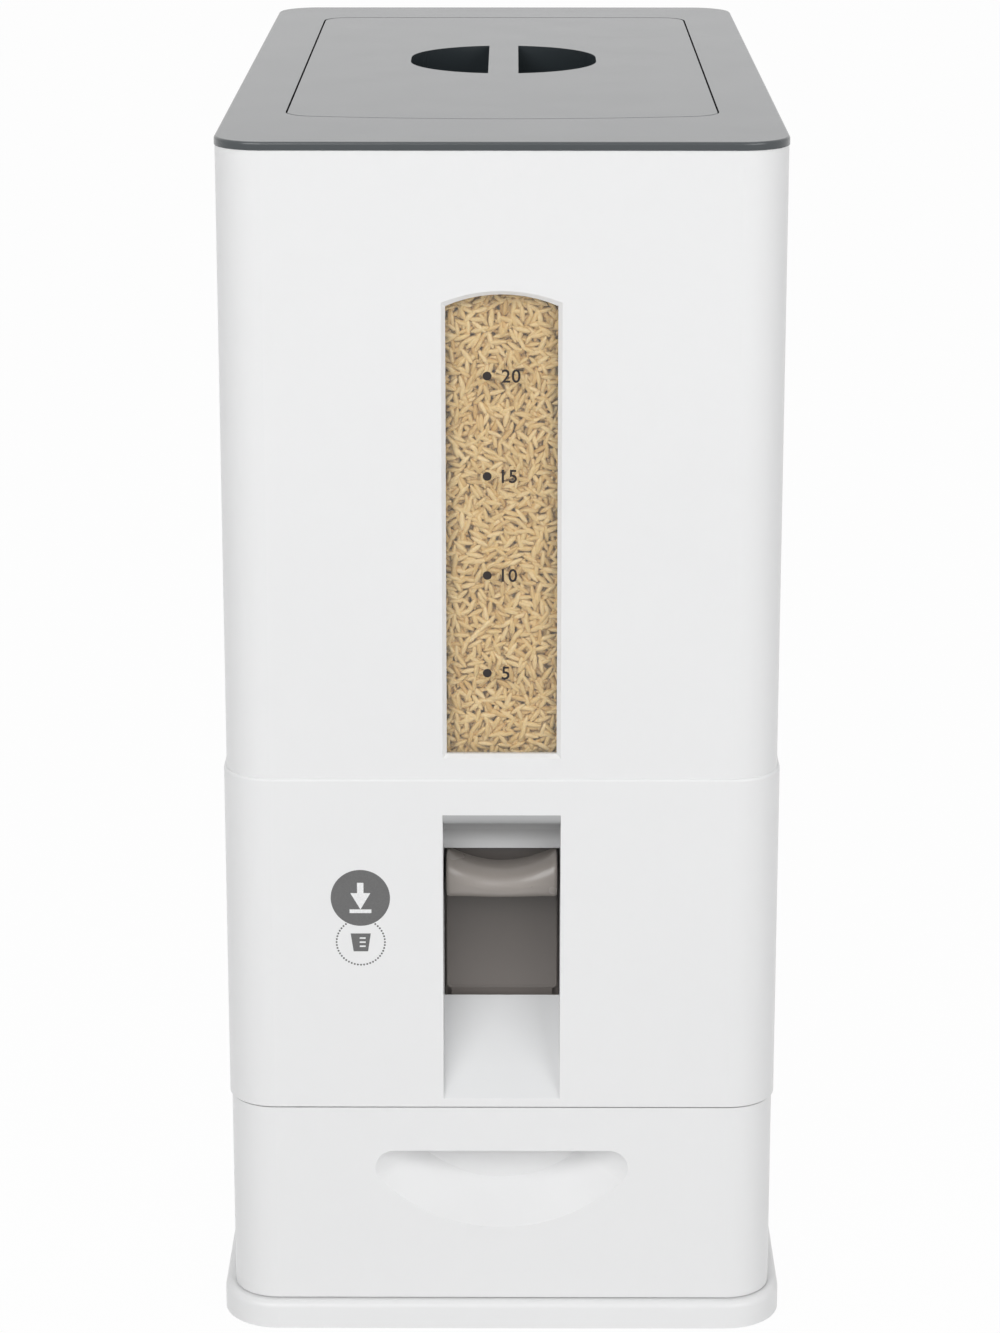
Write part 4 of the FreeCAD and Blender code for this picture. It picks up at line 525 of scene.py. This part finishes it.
def extrude_all(piece, move):
    pick(piece, "FACE", lambda centre, face: True)
    bpy.ops.mesh.extrude_region_move(TRANSFORM_OT_translate={"value": move})
    bpy.ops.mesh.select_all(action="SELECT")
    bpy.ops.mesh.normals_make_consistent(inside=False)
    bpy.ops.object.mode_set(mode="OBJECT")


def join_pieces(pieces):
    deselect_all()
    for piece in pieces:
        piece.select_set(True)
    bpy.context.view_layer.objects.active = pieces[0]
    bpy.ops.object.join()
    return bpy.context.object


def finish_piece(piece, name, body, material, smooth=35.0):
    """Name the piece, give it its material and let it ride with a body."""
    deselect_all()
    piece.name = name
    piece.data.name = name
    piece.data.materials.clear()
    piece.data.materials.append(material)
    piece.select_set(True)
    bpy.context.view_layer.objects.active = piece
    bpy.ops.object.shade_smooth_by_angle(angle=math.radians(smooth))
    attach(piece, body)


def material_named(name):
    material = bpy.data.materials.get(name + "_finish")
    if material is None:
        raise RuntimeError(f"the finish {name} isn't made yet")
    return material


# ---------------------------------------------------------------- rice


def model_grain(length, width, sides, rings):
    """One grain: a long bead with drawn-in ends and a slightly flat belly."""
    deselect_all()
    bpy.ops.mesh.primitive_uv_sphere_add(segments=sides, ring_count=rings, radius=0.5)
    grain = bpy.context.object
    grain.scale = (width, width * 0.84, length)
    settle(grain)
    pick(grain, "VERT", lambda place, vert: abs(place.z) > 0.3 * length)
    bpy.ops.transform.resize(value=(0.82, 0.82, 1.0))
    pick(grain, "VERT", lambda place, vert: place.x > 0.2 * width)
    bpy.ops.transform.translate(value=(-0.06 * width, 0.0, 0.0))
    bpy.ops.object.mode_set(mode="OBJECT")
    return grain


def copy_grains(name, grain, places, dice):
    """Many copies of one grain as a single mesh, each with its own tone."""
    points = [vert.co.copy() for vert in grain.data.vertices]
    loops = [tuple(face.vertices) for face in grain.data.polygons]
    verts, faces, tones = [], [], []
    for place in places:
        start = len(verts)
        verts.extend(place @ point for point in points)
        faces.extend(tuple(start + index for index in loop) for loop in loops)
        tones.extend([min(1.0, max(0.0, dice.gauss(0.5, 0.24)))] * len(points))
    mesh = bpy.data.meshes.new(name)
    mesh.from_pydata(verts, [], faces)
    tone = mesh.attributes.new("grain_tone", "FLOAT", "POINT")
    tone.data.foreach_set("value", tones)
    mesh.update()
    heap = bpy.data.objects.new(name, mesh)
    bpy.context.scene.collection.objects.link(heap)
    return heap


def jittered_grid(left, right, low, high, step, dice):
    """Staggered points over a rectangle, each moved a little at random."""
    row_share, jitter = 0.866, 0.42
    rows = int((high - low) / (step * row_share)) + 1
    columns = int((right - left) / step) + 1
    for row in range(rows):
        for column in range(columns):
            across = left + (column + 0.5 * (row % 2)) * step + dice.uniform(-jitter, jitter) * step
            along = low + row * step * row_share + dice.uniform(-jitter, jitter) * step
            if left <= across <= right and low <= along <= high:
                yield across, along


def window_grain_places(length, width, layers, dice):
    """Grains that lie against the inside of the pane, front layer last."""
    pane_low, pane_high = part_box("window_pane")
    left, right = pane_low.x + 0.0035, pane_high.x - 0.0035
    low, high = pane_low.z + 0.0025, pane_high.z - 0.002
    for layer in range(layers):
        step = 0.0031 if layer < 2 else 0.0034
        for x, z in jittered_grid(left, right, low, high, step, dice):
            lean = math.radians(dice.uniform(-16.0, 16.0))
            size = dice.uniform(0.88, 1.1)
            depth = width * 0.5 * size + abs(math.sin(lean)) * length * 0.5 * size
            y = PANE_BACK + 0.0001 + depth + layer * 0.0012
            turn = Matrix.Rotation(dice.uniform(0.0, math.pi), 4, "Y") @ Matrix.Rotation(lean, 4, "X")
            roll = Matrix.Rotation(dice.uniform(0.0, math.tau), 4, "Z")
            yield Matrix.Translation((x, y, z)) @ turn @ roll @ Matrix.Scale(size, 4)


def heap_height(x, y, level):
    """The gently uneven top of the poured rice."""
    return level - 0.0025 + 0.0018 * math.sin(31.0 * x + 1.1) + 0.002 * math.sin(17.0 * y + 40.0 * x)


def top_grain_places(level, dice):
    """Grains that lie on the poured heap under the hatch."""
    for x, y in jittered_grid(-0.09, 0.09, -0.172, 0.182, 0.0041, dice):
        lean = math.radians(dice.uniform(-20.0, 20.0))
        spin = Matrix.Rotation(dice.uniform(0.0, math.tau), 4, "Z")
        turn = spin @ Matrix.Rotation(math.pi / 2 + lean, 4, "X")
        roll = Matrix.Rotation(dice.uniform(0.0, math.tau), 4, "Z")
        z = heap_height(x, y, level) + dice.uniform(-0.0004, 0.0012)
        yield Matrix.Translation((x, y, z)) @ turn @ roll @ Matrix.Scale(dice.uniform(0.9, 1.1), 4)


def make_rice_bed(level):
    """The bulk of the rice: it fills the hopper behind and under the loose grains."""
    low = (-RICE_HALF_WIDTH, PANE_BACK + LOOSE_DEPTH, RICE_FOOT)
    high = (RICE_HALF_WIDTH, RICE_BACK, level - 0.003)
    bed = start_block(low, high)
    pick(bed, "VERT", lambda place, vert: place.z < RICE_FOOT + 0.001 and place.y > 0.0)
    bpy.ops.transform.translate(value=(0.0, 0.0, FUNNEL_RISE))
    pick(bed, "EDGE", lambda centre, edge: is_upright(edge))
    bevel_picked(0.012, 5)
    pick(bed, "FACE", lambda centre, face: face.normal.z > 0.9)
    bpy.ops.mesh.inset(thickness=0.006)
    bpy.ops.object.mode_set(mode="OBJECT")
    pick(bed, "EDGE", lambda centre, edge: centre.z > level - 0.004 and edge.calc_length() > 0.1)
    bevel_picked(0.002, 2)
    return bed


class DISPENSER_OT_pour_rice(bpy.types.Operator):
    """Fill the hopper: the bulk, the grains behind the pane and the grains on top"""

    bl_idname = "dispenser.pour_rice"
    bl_label = "Pour the Rice"

    def execute(self, context):
        sizes = context.scene.dispenser_sizes
        rice = make_rice(context.scene.dispenser_colours)
        dice = random.Random(7)
        grain = model_grain(sizes.grain_length, sizes.grain_width, 8, 6)
        places = list(window_grain_places(sizes.grain_length, sizes.grain_width, 4, dice))
        window_grains = copy_grains("window_grains", grain, places, dice)
        finish_piece(window_grains, "rice_behind_pane", "casing", rice, smooth=70.0)
        small = model_grain(sizes.grain_length, sizes.grain_width, 6, 5)
        top_grains = copy_grains("top_grains", small, list(top_grain_places(sizes.rice_level, dice)), dice)
        finish_piece(top_grains, "rice_on_top", "casing", rice, smooth=70.0)
        bed = make_rice_bed(sizes.rice_level)
        tone = bed.data.attributes.new("grain_tone", "FLOAT", "POINT")
        # The bed takes a deep tan: painted shade for the gaps between the loose grains
        tone.data.foreach_set("value", [0.1] * len(bed.data.vertices))
        finish_piece(bed, "rice_bed", "casing", rice)
        for source in (grain, small):
            bpy.data.objects.remove(source)
        return {"FINISHED"}


# ---------------------------------------------------------------- printing


def make_print(piece, depth=INK_THICKNESS):
    """Raise a flat printed shape by the thickness of its ink."""
    extrude_all(piece, (0.0, -depth, 0.0))
    return piece


def write_digits(text, height, place):
    """Plain numbers that face the front; place is their lower left corner."""
    deselect_all()
    bpy.ops.object.text_add()
    label = bpy.context.object
    label.data.body = text
    label.data.resolution_u = 6
    label.data.extrude = 0.004
    label.data.offset = 0.012
    label.data.space_character = 1.06
    bpy.ops.object.convert(target="MESH")
    label = bpy.context.object
    zs = [vert.co.y for vert in label.data.vertices]
    xs = [vert.co.x for vert in label.data.vertices]
    scale = height / (max(zs) - min(zs))
    label.data.transform(Matrix.Translation((-min(xs), -min(zs), 0.0)))
    label.rotation_euler = (math.pi / 2, 0.0, 0.0)
    label.scale = (scale, scale, scale)
    label.location = place
    settle(label)
    return label


class DISPENSER_OT_print_levels(bpy.types.Operator):
    """Print the four level marks on the pane: a dot and a plain number each"""

    bl_idname = "dispenser.print_levels"
    bl_label = "Print the Level Marks"

    def execute(self, context):
        sizes = context.scene.dispenser_sizes
        ink = make_ink("level_ink", tuple(context.scene.dispenser_colours.ink), (0.35, 0.5))
        first = make_print(start_disc(LEVEL_DOT_RADIUS, 40, (LEVEL_DOT_X, PANE_FRONT, sizes.lowest_mark)))
        dots = [first]
        for step in range(1, len(LEVEL_TEXTS)):
            dot = first.copy()
            dot.data = first.data.copy()
            context.scene.collection.objects.link(dot)
            dot.data.transform(Matrix.Translation((0.0, 0.0, step * sizes.mark_step)))
            dots.append(dot)
        for step, dot in enumerate(dots):
            finish_piece(dot, f"level_dot_{step + 1}", "casing", ink)
        for step, text in enumerate(LEVEL_TEXTS):
            low = sizes.lowest_mark + step * sizes.mark_step - sizes.digit_height / 2
            digits = write_digits(text, sizes.digit_height, (0.0, PANE_FRONT - THIN_INK, low))
            finish_piece(digits, f"level_number_{text}", "casing", ink)
        return {"FINISHED"}


def make_dotted_ring(centre, radius, count, dot_radius, chosen):
    """A ring of small printed dots, modelled once and copied round."""
    x, y, z = centre
    dots = []
    for index in range(count):
        angle = math.tau * index / count
        spot = (x + radius * math.sin(angle), y, z + radius * math.cos(angle))
        if not chosen(spot):
            continue
        if not dots:
            dots.append(make_print(start_disc(dot_radius, 8, spot), THIN_INK))
            first_spot = spot
            continue
        dot = dots[0].copy()
        dot.data = dots[0].data.copy()
        bpy.context.scene.collection.objects.link(dot)
        dot.data.transform(Matrix.Translation(Vector(spot) - Vector(first_spot)))
        dots.append(dot)
    return join_pieces(dots)


def make_down_arrow(centre, height):
    """A plain arrow that points down onto a short bar."""
    x, y, z = centre
    back = y + THIN_INK
    stem = start_block(
        (x - 0.1 * height, y, z + 0.16 * height), (x + 0.1 * height, back, z + 0.5 * height)
    )
    bar = start_block(
        (x - 0.34 * height, y, z - 0.5 * height), (x + 0.34 * height, back, z - 0.38 * height)
    )
    head = start_disc(0.36 * height, 3, (x, back, z - 0.02 * height))
    settle_turn(head, math.pi)
    make_print(head, THIN_INK)
    return join_pieces([stem, bar, head])


def model_cup(centre):
    """A plain measuring cup, printed, with three level strokes left bare."""
    cup_half, cup_foot, cup_top, foot_share = 0.0037, -0.0036, 0.0034, 0.72
    stroke_left, stroke_low, stroke_step = -0.0004, -0.0019, 0.0016
    stroke_size = Vector((0.0022, THIN_INK, 0.0006))
    cup = start_block(
        centre + Vector((-cup_half, -THIN_INK, cup_foot)), centre + Vector((cup_half, 0.0, cup_top))
    )
    pick(cup, "VERT", lambda place, vert: place.z < centre.z)
    bpy.ops.transform.resize(value=(foot_share, 1.0, 1.0))
    bpy.ops.object.mode_set(mode="OBJECT")
    strokes = []
    for level in range(3):
        low = centre + Vector((stroke_left, -2.0 * THIN_INK, stroke_low + stroke_step * level))
        strokes.append(start_block(low, low + stroke_size))
    return cup, join_pieces(strokes)


def settle_turn(piece, angle):
    """Turn a flat front-facing piece in its own plane about its middle."""
    middle = sum((vert.co for vert in piece.data.vertices), Vector()) / len(piece.data.vertices)
    turn = Matrix.Translation(middle) @ Matrix.Rotation(angle, 4, "Y") @ Matrix.Translation(-middle)
    piece.data.transform(turn)


class DISPENSER_OT_print_badge(bpy.types.Operator):
    """Print the plain round badge: a disc with an arrow, and a dotted ring with a cup"""

    bl_idname = "dispenser.print_badge"
    bl_label = "Print the Badge"

    def execute(self, context):
        sizes = context.scene.dispenser_sizes
        colours = context.scene.dispenser_colours
        ink = make_ink("badge_ink", tuple(colours.badge), (0.4, 0.55))
        pale = make_ink("badge_pale_ink", tuple(colours.shell), (0.4, 0.55))
        disc_place = Vector((BADGE_X, FRONT_FACE, DISC_HEIGHT))
        ring_place = Vector((BADGE_X, FRONT_FACE, RING_HEIGHT))
        disc = make_print(start_disc(sizes.badge_radius, 96, disc_place))
        finish_piece(disc, "badge_disc", "casing", ink)
        clear = sizes.badge_radius + 0.0002
        ring = make_dotted_ring(
            ring_place,
            RING_RADIUS,
            RING_DOTS,
            RING_DOT_RADIUS,
            lambda spot: (Vector(spot) - disc_place).length > clear,
        )
        finish_piece(ring, "badge_ring", "casing", ink)
        on_disc = Vector((0.0, -INK_THICKNESS - THIN_INK, 0.0))
        arrow = make_down_arrow(disc_place + on_disc, ARROW_HEIGHT)
        finish_piece(arrow, "badge_arrow", "casing", pale)
        cup, levels = model_cup(ring_place)
        finish_piece(cup, "badge_cup", "casing", ink)
        finish_piece(levels, "badge_cup_levels", "casing", pale)
        return {"FINISHED"}


# ---------------------------------------------------------------- lever


class DISPENSER_OT_trim_lever(bpy.types.Operator):
    """Set the raised pad on the lever's panel, with the thin lip round its edge"""

    bl_idname = "dispenser.trim_lever"
    bl_label = "Trim the Lever"

    def execute(self, context):
        low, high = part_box("lever_panel")
        knob_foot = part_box("lever_knob")[0].z
        side_gap, foot_gap, raise_by, sunk = 0.0006, 0.0042, 0.0002, 0.0004
        lip_width, lip_height, lip_area = 0.0008, 0.0002, 0.0002
        face = LEVER_FACE - raise_by
        pad = start_block(
            (low.x + side_gap, face, low.z + foot_gap), (high.x - side_gap, LEVER_FACE + sunk, knob_foot)
        )
        pick(pad, "EDGE", lambda centre, edge: is_upright(edge, 1) and centre.z < 0.15)
        bevel_picked(0.0018, 6)
        pick(pad, "FACE", lambda centre, side: side.normal.y < -0.9)
        bpy.ops.mesh.inset(thickness=lip_width)
        bpy.ops.object.mode_set(mode="OBJECT")
        pick(pad, "FACE", lambda centre, side: side.normal.y < -0.9 and side.calc_area() < lip_area)
        bpy.ops.mesh.extrude_region_move(TRANSFORM_OT_translate={"value": (0.0, -lip_height, 0.0)})
        bpy.ops.object.mode_set(mode="OBJECT")
        on_lip = face - lip_height / 2.0
        pick(pad, "EDGE", lambda centre, edge: centre.y < on_lip and edge.calc_face_angle(0.0) > 0.5)
        bevel_picked(0.00012, 2)
        finish_piece(pad, "lever_pad", "lever", material_named("taupe_panel"), smooth=50.0)
        return {"FINISHED"}


def cut_with(piece, cutter):
    """Cut one closed piece out of another."""
    deselect_all()
    piece.select_set(True)
    bpy.context.view_layer.objects.active = piece
    bpy.ops.object.modifier_add(type="BOOLEAN")
    modifier = piece.modifiers[-1]
    modifier.operation = "DIFFERENCE"
    modifier.solver = "EXACT"
    modifier.object = cutter
    bpy.ops.object.modifier_apply(modifier=modifier.name)
    bpy.data.objects.remove(cutter)


def model_cove(half, front, back, foot, top):
    """The curved roof of the recess: a lip at the front, then one soft sweep down to the slot."""
    lip, fall, sweep = 0.0022, 0.0116, 0.0066
    cove = start_block((-half, front, foot), (half, back + 0.0005, top))
    hollow = start_block((-2.0 * half, front - 0.002, foot - 0.01), (2.0 * half, back, top - lip))
    pick(hollow, "VERT", lambda place, vert: place.z > foot and place.y > back - 0.001)
    bpy.ops.transform.translate(value=(0.0, 0.0, -fall))
    pick_across(hollow, lambda centre: centre.z > foot and centre.y > back - 0.001)
    bevel_picked(sweep, 14)
    cut_with(cove, hollow)
    pick_across(cove, lambda centre: centre.y < front + 0.0001 and centre.z < top - 0.001)
    bevel_picked(0.0016, 6)
    return cove


def model_ramp(half):
    """The thin lining of the ramp under the lever: two slopes with a soft bend."""
    back = FRONT_FACE + 0.02295
    foot = RECESS_FOOT + 0.0001
    middle = (foot + SLOT_FOOT) / 2.0
    bend_out, foot_out = 0.0155, 0.0227
    ramp = start_block((-half, back - LINING, foot), (half, back, SLOT_FOOT))
    pick(ramp, "EDGE", lambda centre, edge: is_upright(edge))
    bpy.ops.mesh.subdivide(number_cuts=1)
    bpy.ops.object.mode_set(mode="OBJECT")
    pick(ramp, "VERT", lambda place, vert: abs(place.z - middle) < 0.001)
    bpy.ops.transform.translate(value=(0.0, -bend_out, RAMP_BEND - middle))
    bpy.ops.object.mode_set(mode="OBJECT")
    pick(ramp, "VERT", lambda place, vert: place.z < foot + 0.001)
    bpy.ops.transform.translate(value=(0.0, -foot_out, 0.0))
    bpy.ops.object.mode_set(mode="OBJECT")
    return ramp


class DISPENSER_OT_line_recess(bpy.types.Operator):
    """Line the front recess with thin grey pieces that carry painted shade: its softly curved roof and the
    ramp under the lever
    """

    bl_idname = "dispenser.line_recess"
    bl_label = "Line the Recess"

    def execute(self, context):
        # The lining's grey is painted shade for the inside of the recess
        finish, tree, shader = make_moulded(
            "recess_painted_shade", RECESS_SHADE_GREY, (0.3, 0.36), grain=2200.0, grain_depth=0.00001, drift=0.01
        )
        # Painted shade: darkest in a band under the roof, palest at the foot of the ramp
        paint_shade_by_height(tree, shader, RECESS_FOOT, RECESS_TOP, RECESS_PAINTED_SHADE)
        cove = model_cove(
            RECESS_HALF_WIDTH,
            FRONT_FACE + 0.0001,
            FRONT_FACE + RECESS_DEPTH,
            SLOT_TOP,
            RECESS_TOP - 0.00005,
        )
        finish_piece(cove, "recess_cove", "casing", finish, smooth=40.0)
        finish_piece(model_ramp(RECESS_HALF_WIDTH), "recess_ramp", "casing", finish, smooth=40.0)
        return {"FINISHED"}


def pull_softly(move, reach, falloff):
    """Move what is picked, and what lies near it less and less."""
    bpy.ops.transform.translate(
        value=move,
        use_proportional_edit=True,
        proportional_edit_falloff=falloff,
        proportional_size=reach,
    )


def model_knob(low, high):
    """The finger bar: a rounded bar whose top dips in the middle for the finger."""
    top_round, foot_round, end_round = 0.0078, 0.0066, 0.0014
    dip, dip_reach = 0.0055, 0.0202
    belly, belly_reach = 0.0011, 0.017
    middle = (low + high) / 2
    knob = start_block(low, high)
    pick_across(knob, lambda centre: centre.y < middle.y and centre.z > middle.z)
    bevel_picked(top_round, 12)
    pick_across(knob, lambda centre: centre.y < middle.y and centre.z < low.z + 0.001)
    bevel_picked(foot_round, 10)
    ends = high.x - 0.0001
    pick(knob, "EDGE", lambda centre, edge: abs(centre.x) > ends and centre.y < high.y - 0.0001)
    bevel_picked(end_round, 4)
    pick(knob, "EDGE", lambda centre, edge: is_upright(edge, 0) and edge.calc_length() > 0.02)
    bpy.ops.mesh.subdivide(number_cuts=31)
    bpy.ops.object.mode_set(mode="OBJECT")
    rim = low.z + 0.5 * (high.z - low.z)
    pick(knob, "VERT", lambda place, vert: place.z < rim)
    bpy.ops.mesh.hide()
    bpy.ops.object.mode_set(mode="OBJECT")
    pick(knob, "VERT", lambda place, vert: abs(place.x) < 0.0008 and place.z > rim)
    pull_softly((0.0, 0.0, -dip), dip_reach, "INVERSE_SQUARE")
    bpy.ops.mesh.reveal()
    bpy.ops.object.mode_set(mode="OBJECT")
    front = low.y + 0.001
    pick(knob, "VERT", lambda place, vert: abs(place.x) < 0.001 and place.y < front and place.z < middle.z)
    pull_softly((0.0, -belly, 0.0), belly_reach, "SMOOTH")
    bpy.ops.object.mode_set(mode="OBJECT")
    inside = high.x - 0.002
    pick(knob, "VERT", lambda place, vert: abs(place.x) < inside and place.y < high.y - 0.001)
    bpy.ops.mesh.vertices_smooth(factor=0.5, repeat=4)
    bpy.ops.object.mode_set(mode="OBJECT")
    return knob


class DISPENSER_OT_shape_knob(bpy.types.Operator):
    """Give the lever's finger bar its soft pillow form, and the thin skirt under it"""

    bl_idname = "dispenser.shape_knob"
    bl_label = "Shape the Knob"

    def execute(self, context):
        skirt_inset, skirt_depth, skirt_drop, skirt_lap = 0.0012, 0.0026, 0.0024, 0.0045
        low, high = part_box("lever_knob")
        knob = model_knob(low, high)
        bar_finish = material_named("taupe_knob")
        finish_piece(knob, "finger_bar", "lever", bar_finish, smooth=40.0)
        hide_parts("lever_knob")
        skirt = start_block(
            (low.x + skirt_inset, high.y - skirt_depth, low.z - skirt_drop),
            (high.x - skirt_inset, high.y, low.z + skirt_lap),
        )
        pick(skirt, "EDGE", lambda centre, edge: centre.y < high.y - 0.001 and not is_upright(edge, 1))
        bevel_picked(0.0011, 4)
        skirt_finish = material_named("taupe_panel")
        finish_piece(skirt, "finger_skirt", "lever", skirt_finish, smooth=40.0)
        return {"FINISHED"}


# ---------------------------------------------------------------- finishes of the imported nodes


class DISPENSER_OT_finish_nodes(bpy.types.Operator):
    """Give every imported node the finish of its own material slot"""

    bl_idname = "dispenser.finish_nodes"
    bl_label = "Finish the Packed Nodes"

    def execute(self, context):
        colours = context.scene.dispenser_colours
        finishes = {}
        for slot, maker in FINISH_MAKERS.items():
            finishes[slot] = maker(colours)
            finishes[slot].name = slot + "_finish"
        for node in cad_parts.values():
            for holder in node.material_slots:
                slot = holder.material.name.split(".")[0]
                if slot not in finishes:
                    raise RuntimeError(f"{node.name} has the unknown slot {slot}")
                holder.material = finishes[slot]
        return {"FINISHED"}


# ---------------------------------------------------------------- studio


AMBIENT = 0.41
FLOOR_SIZE = (9.0, 7.0)
BACKDROP_HEIGHT = 5.0
BACKDROP_BEND = 1.5
# name, place, target, size, power in watts
SOFTBOXES = (
    ("key_softbox", (-0.9, -2.0, 1.5), (0.0, -0.1, 0.2), (1.6, 1.2), 22.4),
    ("fill_softbox", (1.3, -1.9, 1.2), (0.0, -0.1, 0.2), (1.4, 1.4), 14.8),
    ("top_softbox", (0.0, 0.3, 2.0), (0.0, 0.0, 0.3), (1.5, 1.5), 3.2),
)
CAMERA_PLACE = (0.0042, -1.4451, 0.6446)
CAMERA_LOOKS_DOWN = 14.364
CAMERA_PAN = 0.221
CAMERA_LENS = 97.24
CAMERA_SHIFT = -0.13


def add_seen(tree):
    """1 for what the camera sees directly, in a reflection or through a clear piece."""
    path = tree.nodes.new("ShaderNodeLightPath")
    mirrored = tree.nodes.new("ShaderNodeMath")
    mirrored.operation = "MAXIMUM"
    seen = tree.nodes.new("ShaderNodeMath")
    seen.operation = "MAXIMUM"
    tree.links.new(path.outputs["Is Camera Ray"], mirrored.inputs[0])
    tree.links.new(path.outputs["Is Glossy Ray"], mirrored.inputs[1])
    tree.links.new(mirrored.outputs[0], seen.inputs[0])
    tree.links.new(path.outputs["Is Transmission Ray"], seen.inputs[1])
    return seen.outputs[0]


def make_floor_material():
    """Pale studio paper: plain white to the camera, but it keeps the object's shadow."""
    material, tree, shader = start_material("studio_paper")
    fibre = add_noise(tree, 60.0, 4.0)
    stops = ((0.3, (0.79, 0.79, 0.79)), (0.7, (0.83, 0.83, 0.83)))
    tree.links.new(add_ramp(tree, fibre, stops), shader.inputs["Base Color"])
    shader.inputs["Roughness"].default_value = 0.9
    glow = tree.nodes.new("ShaderNodeEmission")
    glow.inputs["Strength"].default_value = 1.0
    share = tree.nodes.new("ShaderNodeMapRange")
    share.inputs["To Max"].default_value = 0.97
    mix = tree.nodes.new("ShaderNodeMixShader")
    tree.links.new(add_seen(tree), share.inputs["Value"])
    tree.links.new(share.outputs["Result"], mix.inputs["Fac"])
    tree.links.new(shader.outputs["BSDF"], mix.inputs[1])
    tree.links.new(glow.outputs["Emission"], mix.inputs[2])
    tree.links.new(mix.outputs["Shader"], tree.nodes["Material Output"].inputs["Surface"])
    return material


def light_world(scene, ambient):
    """Even soft light on the object, and plain white for the camera and in reflections."""
    world = bpy.data.worlds.new("studio_world")
    scene.world = world
    world.use_nodes = True
    tree = world.node_tree
    back = tree.nodes["Background"]
    level = tree.nodes.new("ShaderNodeMapRange")
    level.inputs["To Min"].default_value = ambient
    level.inputs["To Max"].default_value = 1.0
    tree.links.new(add_seen(tree), level.inputs["Value"])
    tree.links.new(level.outputs["Result"], back.inputs["Strength"])
    back.inputs["Color"].default_value = (1.0, 1.0, 1.0, 1.0)


def add_softbox(name, place, target, size, power):
    deselect_all()
    aim = (Vector(target) - Vector(place)).to_track_quat("-Z", "Y").to_euler()
    bpy.ops.object.light_add(type="AREA", location=place, rotation=aim)
    lamp = bpy.context.object
    lamp.name = name
    lamp.data.shape = "RECTANGLE"
    lamp.data.size, lamp.data.size_y = size
    lamp.data.energy = power


class DISPENSER_OT_build_studio(bpy.types.Operator):
    """Lay the floor and backdrop, light the object softly and place the camera"""

    bl_idname = "dispenser.build_studio"
    bl_label = "Build the Studio"

    def execute(self, context):
        deselect_all()
        bpy.ops.mesh.primitive_plane_add(size=1.0)
        paper = bpy.context.object
        paper.scale = (*FLOOR_SIZE, 1.0)
        settle(paper)
        back = FLOOR_SIZE[1] / 2.0 - 0.5
        pick(paper, "EDGE", lambda centre, edge: centre.y > back)
        bpy.ops.mesh.extrude_region_move(
            TRANSFORM_OT_translate={"value": (0.0, 0.0, BACKDROP_HEIGHT)}
        )
        bpy.ops.object.mode_set(mode="OBJECT")
        pick(paper, "EDGE", lambda centre, edge: abs(centre.z) < 0.001 and centre.y > back)
        bevel_picked(BACKDROP_BEND, 16)
        paper.name = "studio_floor"
        paper.data.materials.append(make_floor_material())
        deselect_all()
        paper.select_set(True)
        bpy.ops.object.shade_smooth()
        paper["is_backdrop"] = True
        light_world(context.scene, AMBIENT)
        for softbox in SOFTBOXES:
            add_softbox(*softbox)
        tilt, pan = math.radians(90.0 - CAMERA_LOOKS_DOWN), math.radians(CAMERA_PAN)
        bpy.ops.object.camera_add(location=CAMERA_PLACE, rotation=(tilt, 0.0, pan))
        camera = bpy.context.object
        camera.name = "product_camera"
        camera.data.lens = CAMERA_LENS
        camera.data.sensor_width = 36.0
        camera.data.shift_y = CAMERA_SHIFT
        camera.data.clip_start = 0.05
        context.scene.camera = camera
        context.scene.view_settings.view_transform = "Standard"
        return {"FINISHED"}


# ---------------------------------------------------------------- panel and running


class DISPENSER_PT_dressing(bpy.types.Panel):
    bl_label = "Rice Dispenser"
    bl_space_type = "VIEW_3D"
    bl_region_type = "UI"
    bl_category = "Dispenser"

    def draw(self, context):
        column = self.layout.column()
        for group in (context.scene.dispenser_sizes, context.scene.dispenser_colours):
            for name in group.__annotations__:
                column.prop(group, name)
        for operator in OPERATORS:
            column.operator(operator.bl_idname)


OPERATORS = (
    DISPENSER_OT_finish_nodes,
    DISPENSER_OT_pour_rice,
    DISPENSER_OT_print_levels,
    DISPENSER_OT_print_badge,
    DISPENSER_OT_line_recess,
    DISPENSER_OT_trim_lever,
    DISPENSER_OT_shape_knob,
    DISPENSER_OT_build_studio,
)
CLASSES = (DispenserSizes, DispenserColours, *OPERATORS, DISPENSER_PT_dressing)


def register():
    for item in CLASSES:
        bpy.utils.register_class(item)
    bpy.types.Scene.dispenser_sizes = bpy.props.PointerProperty(type=DispenserSizes)
    bpy.types.Scene.dispenser_colours = bpy.props.PointerProperty(type=DispenserColours)


def unregister():
    del bpy.types.Scene.dispenser_colours
    del bpy.types.Scene.dispenser_sizes
    for item in reversed(CLASSES):
        bpy.utils.unregister_class(item)


def write_sizes():
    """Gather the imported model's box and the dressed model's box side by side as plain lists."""
    boxes = {"cad": cad_bounds, "dressed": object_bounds()}
    plain = {name: [list(corner) for corner in box] for name, box in boxes.items()}


def main():
    register()
    for operator in OPERATORS:
        group, name = operator.bl_idname.split(".")
        getattr(getattr(bpy.ops, group), name)()
    write_sizes()


if __name__ == "__main__":
    main()
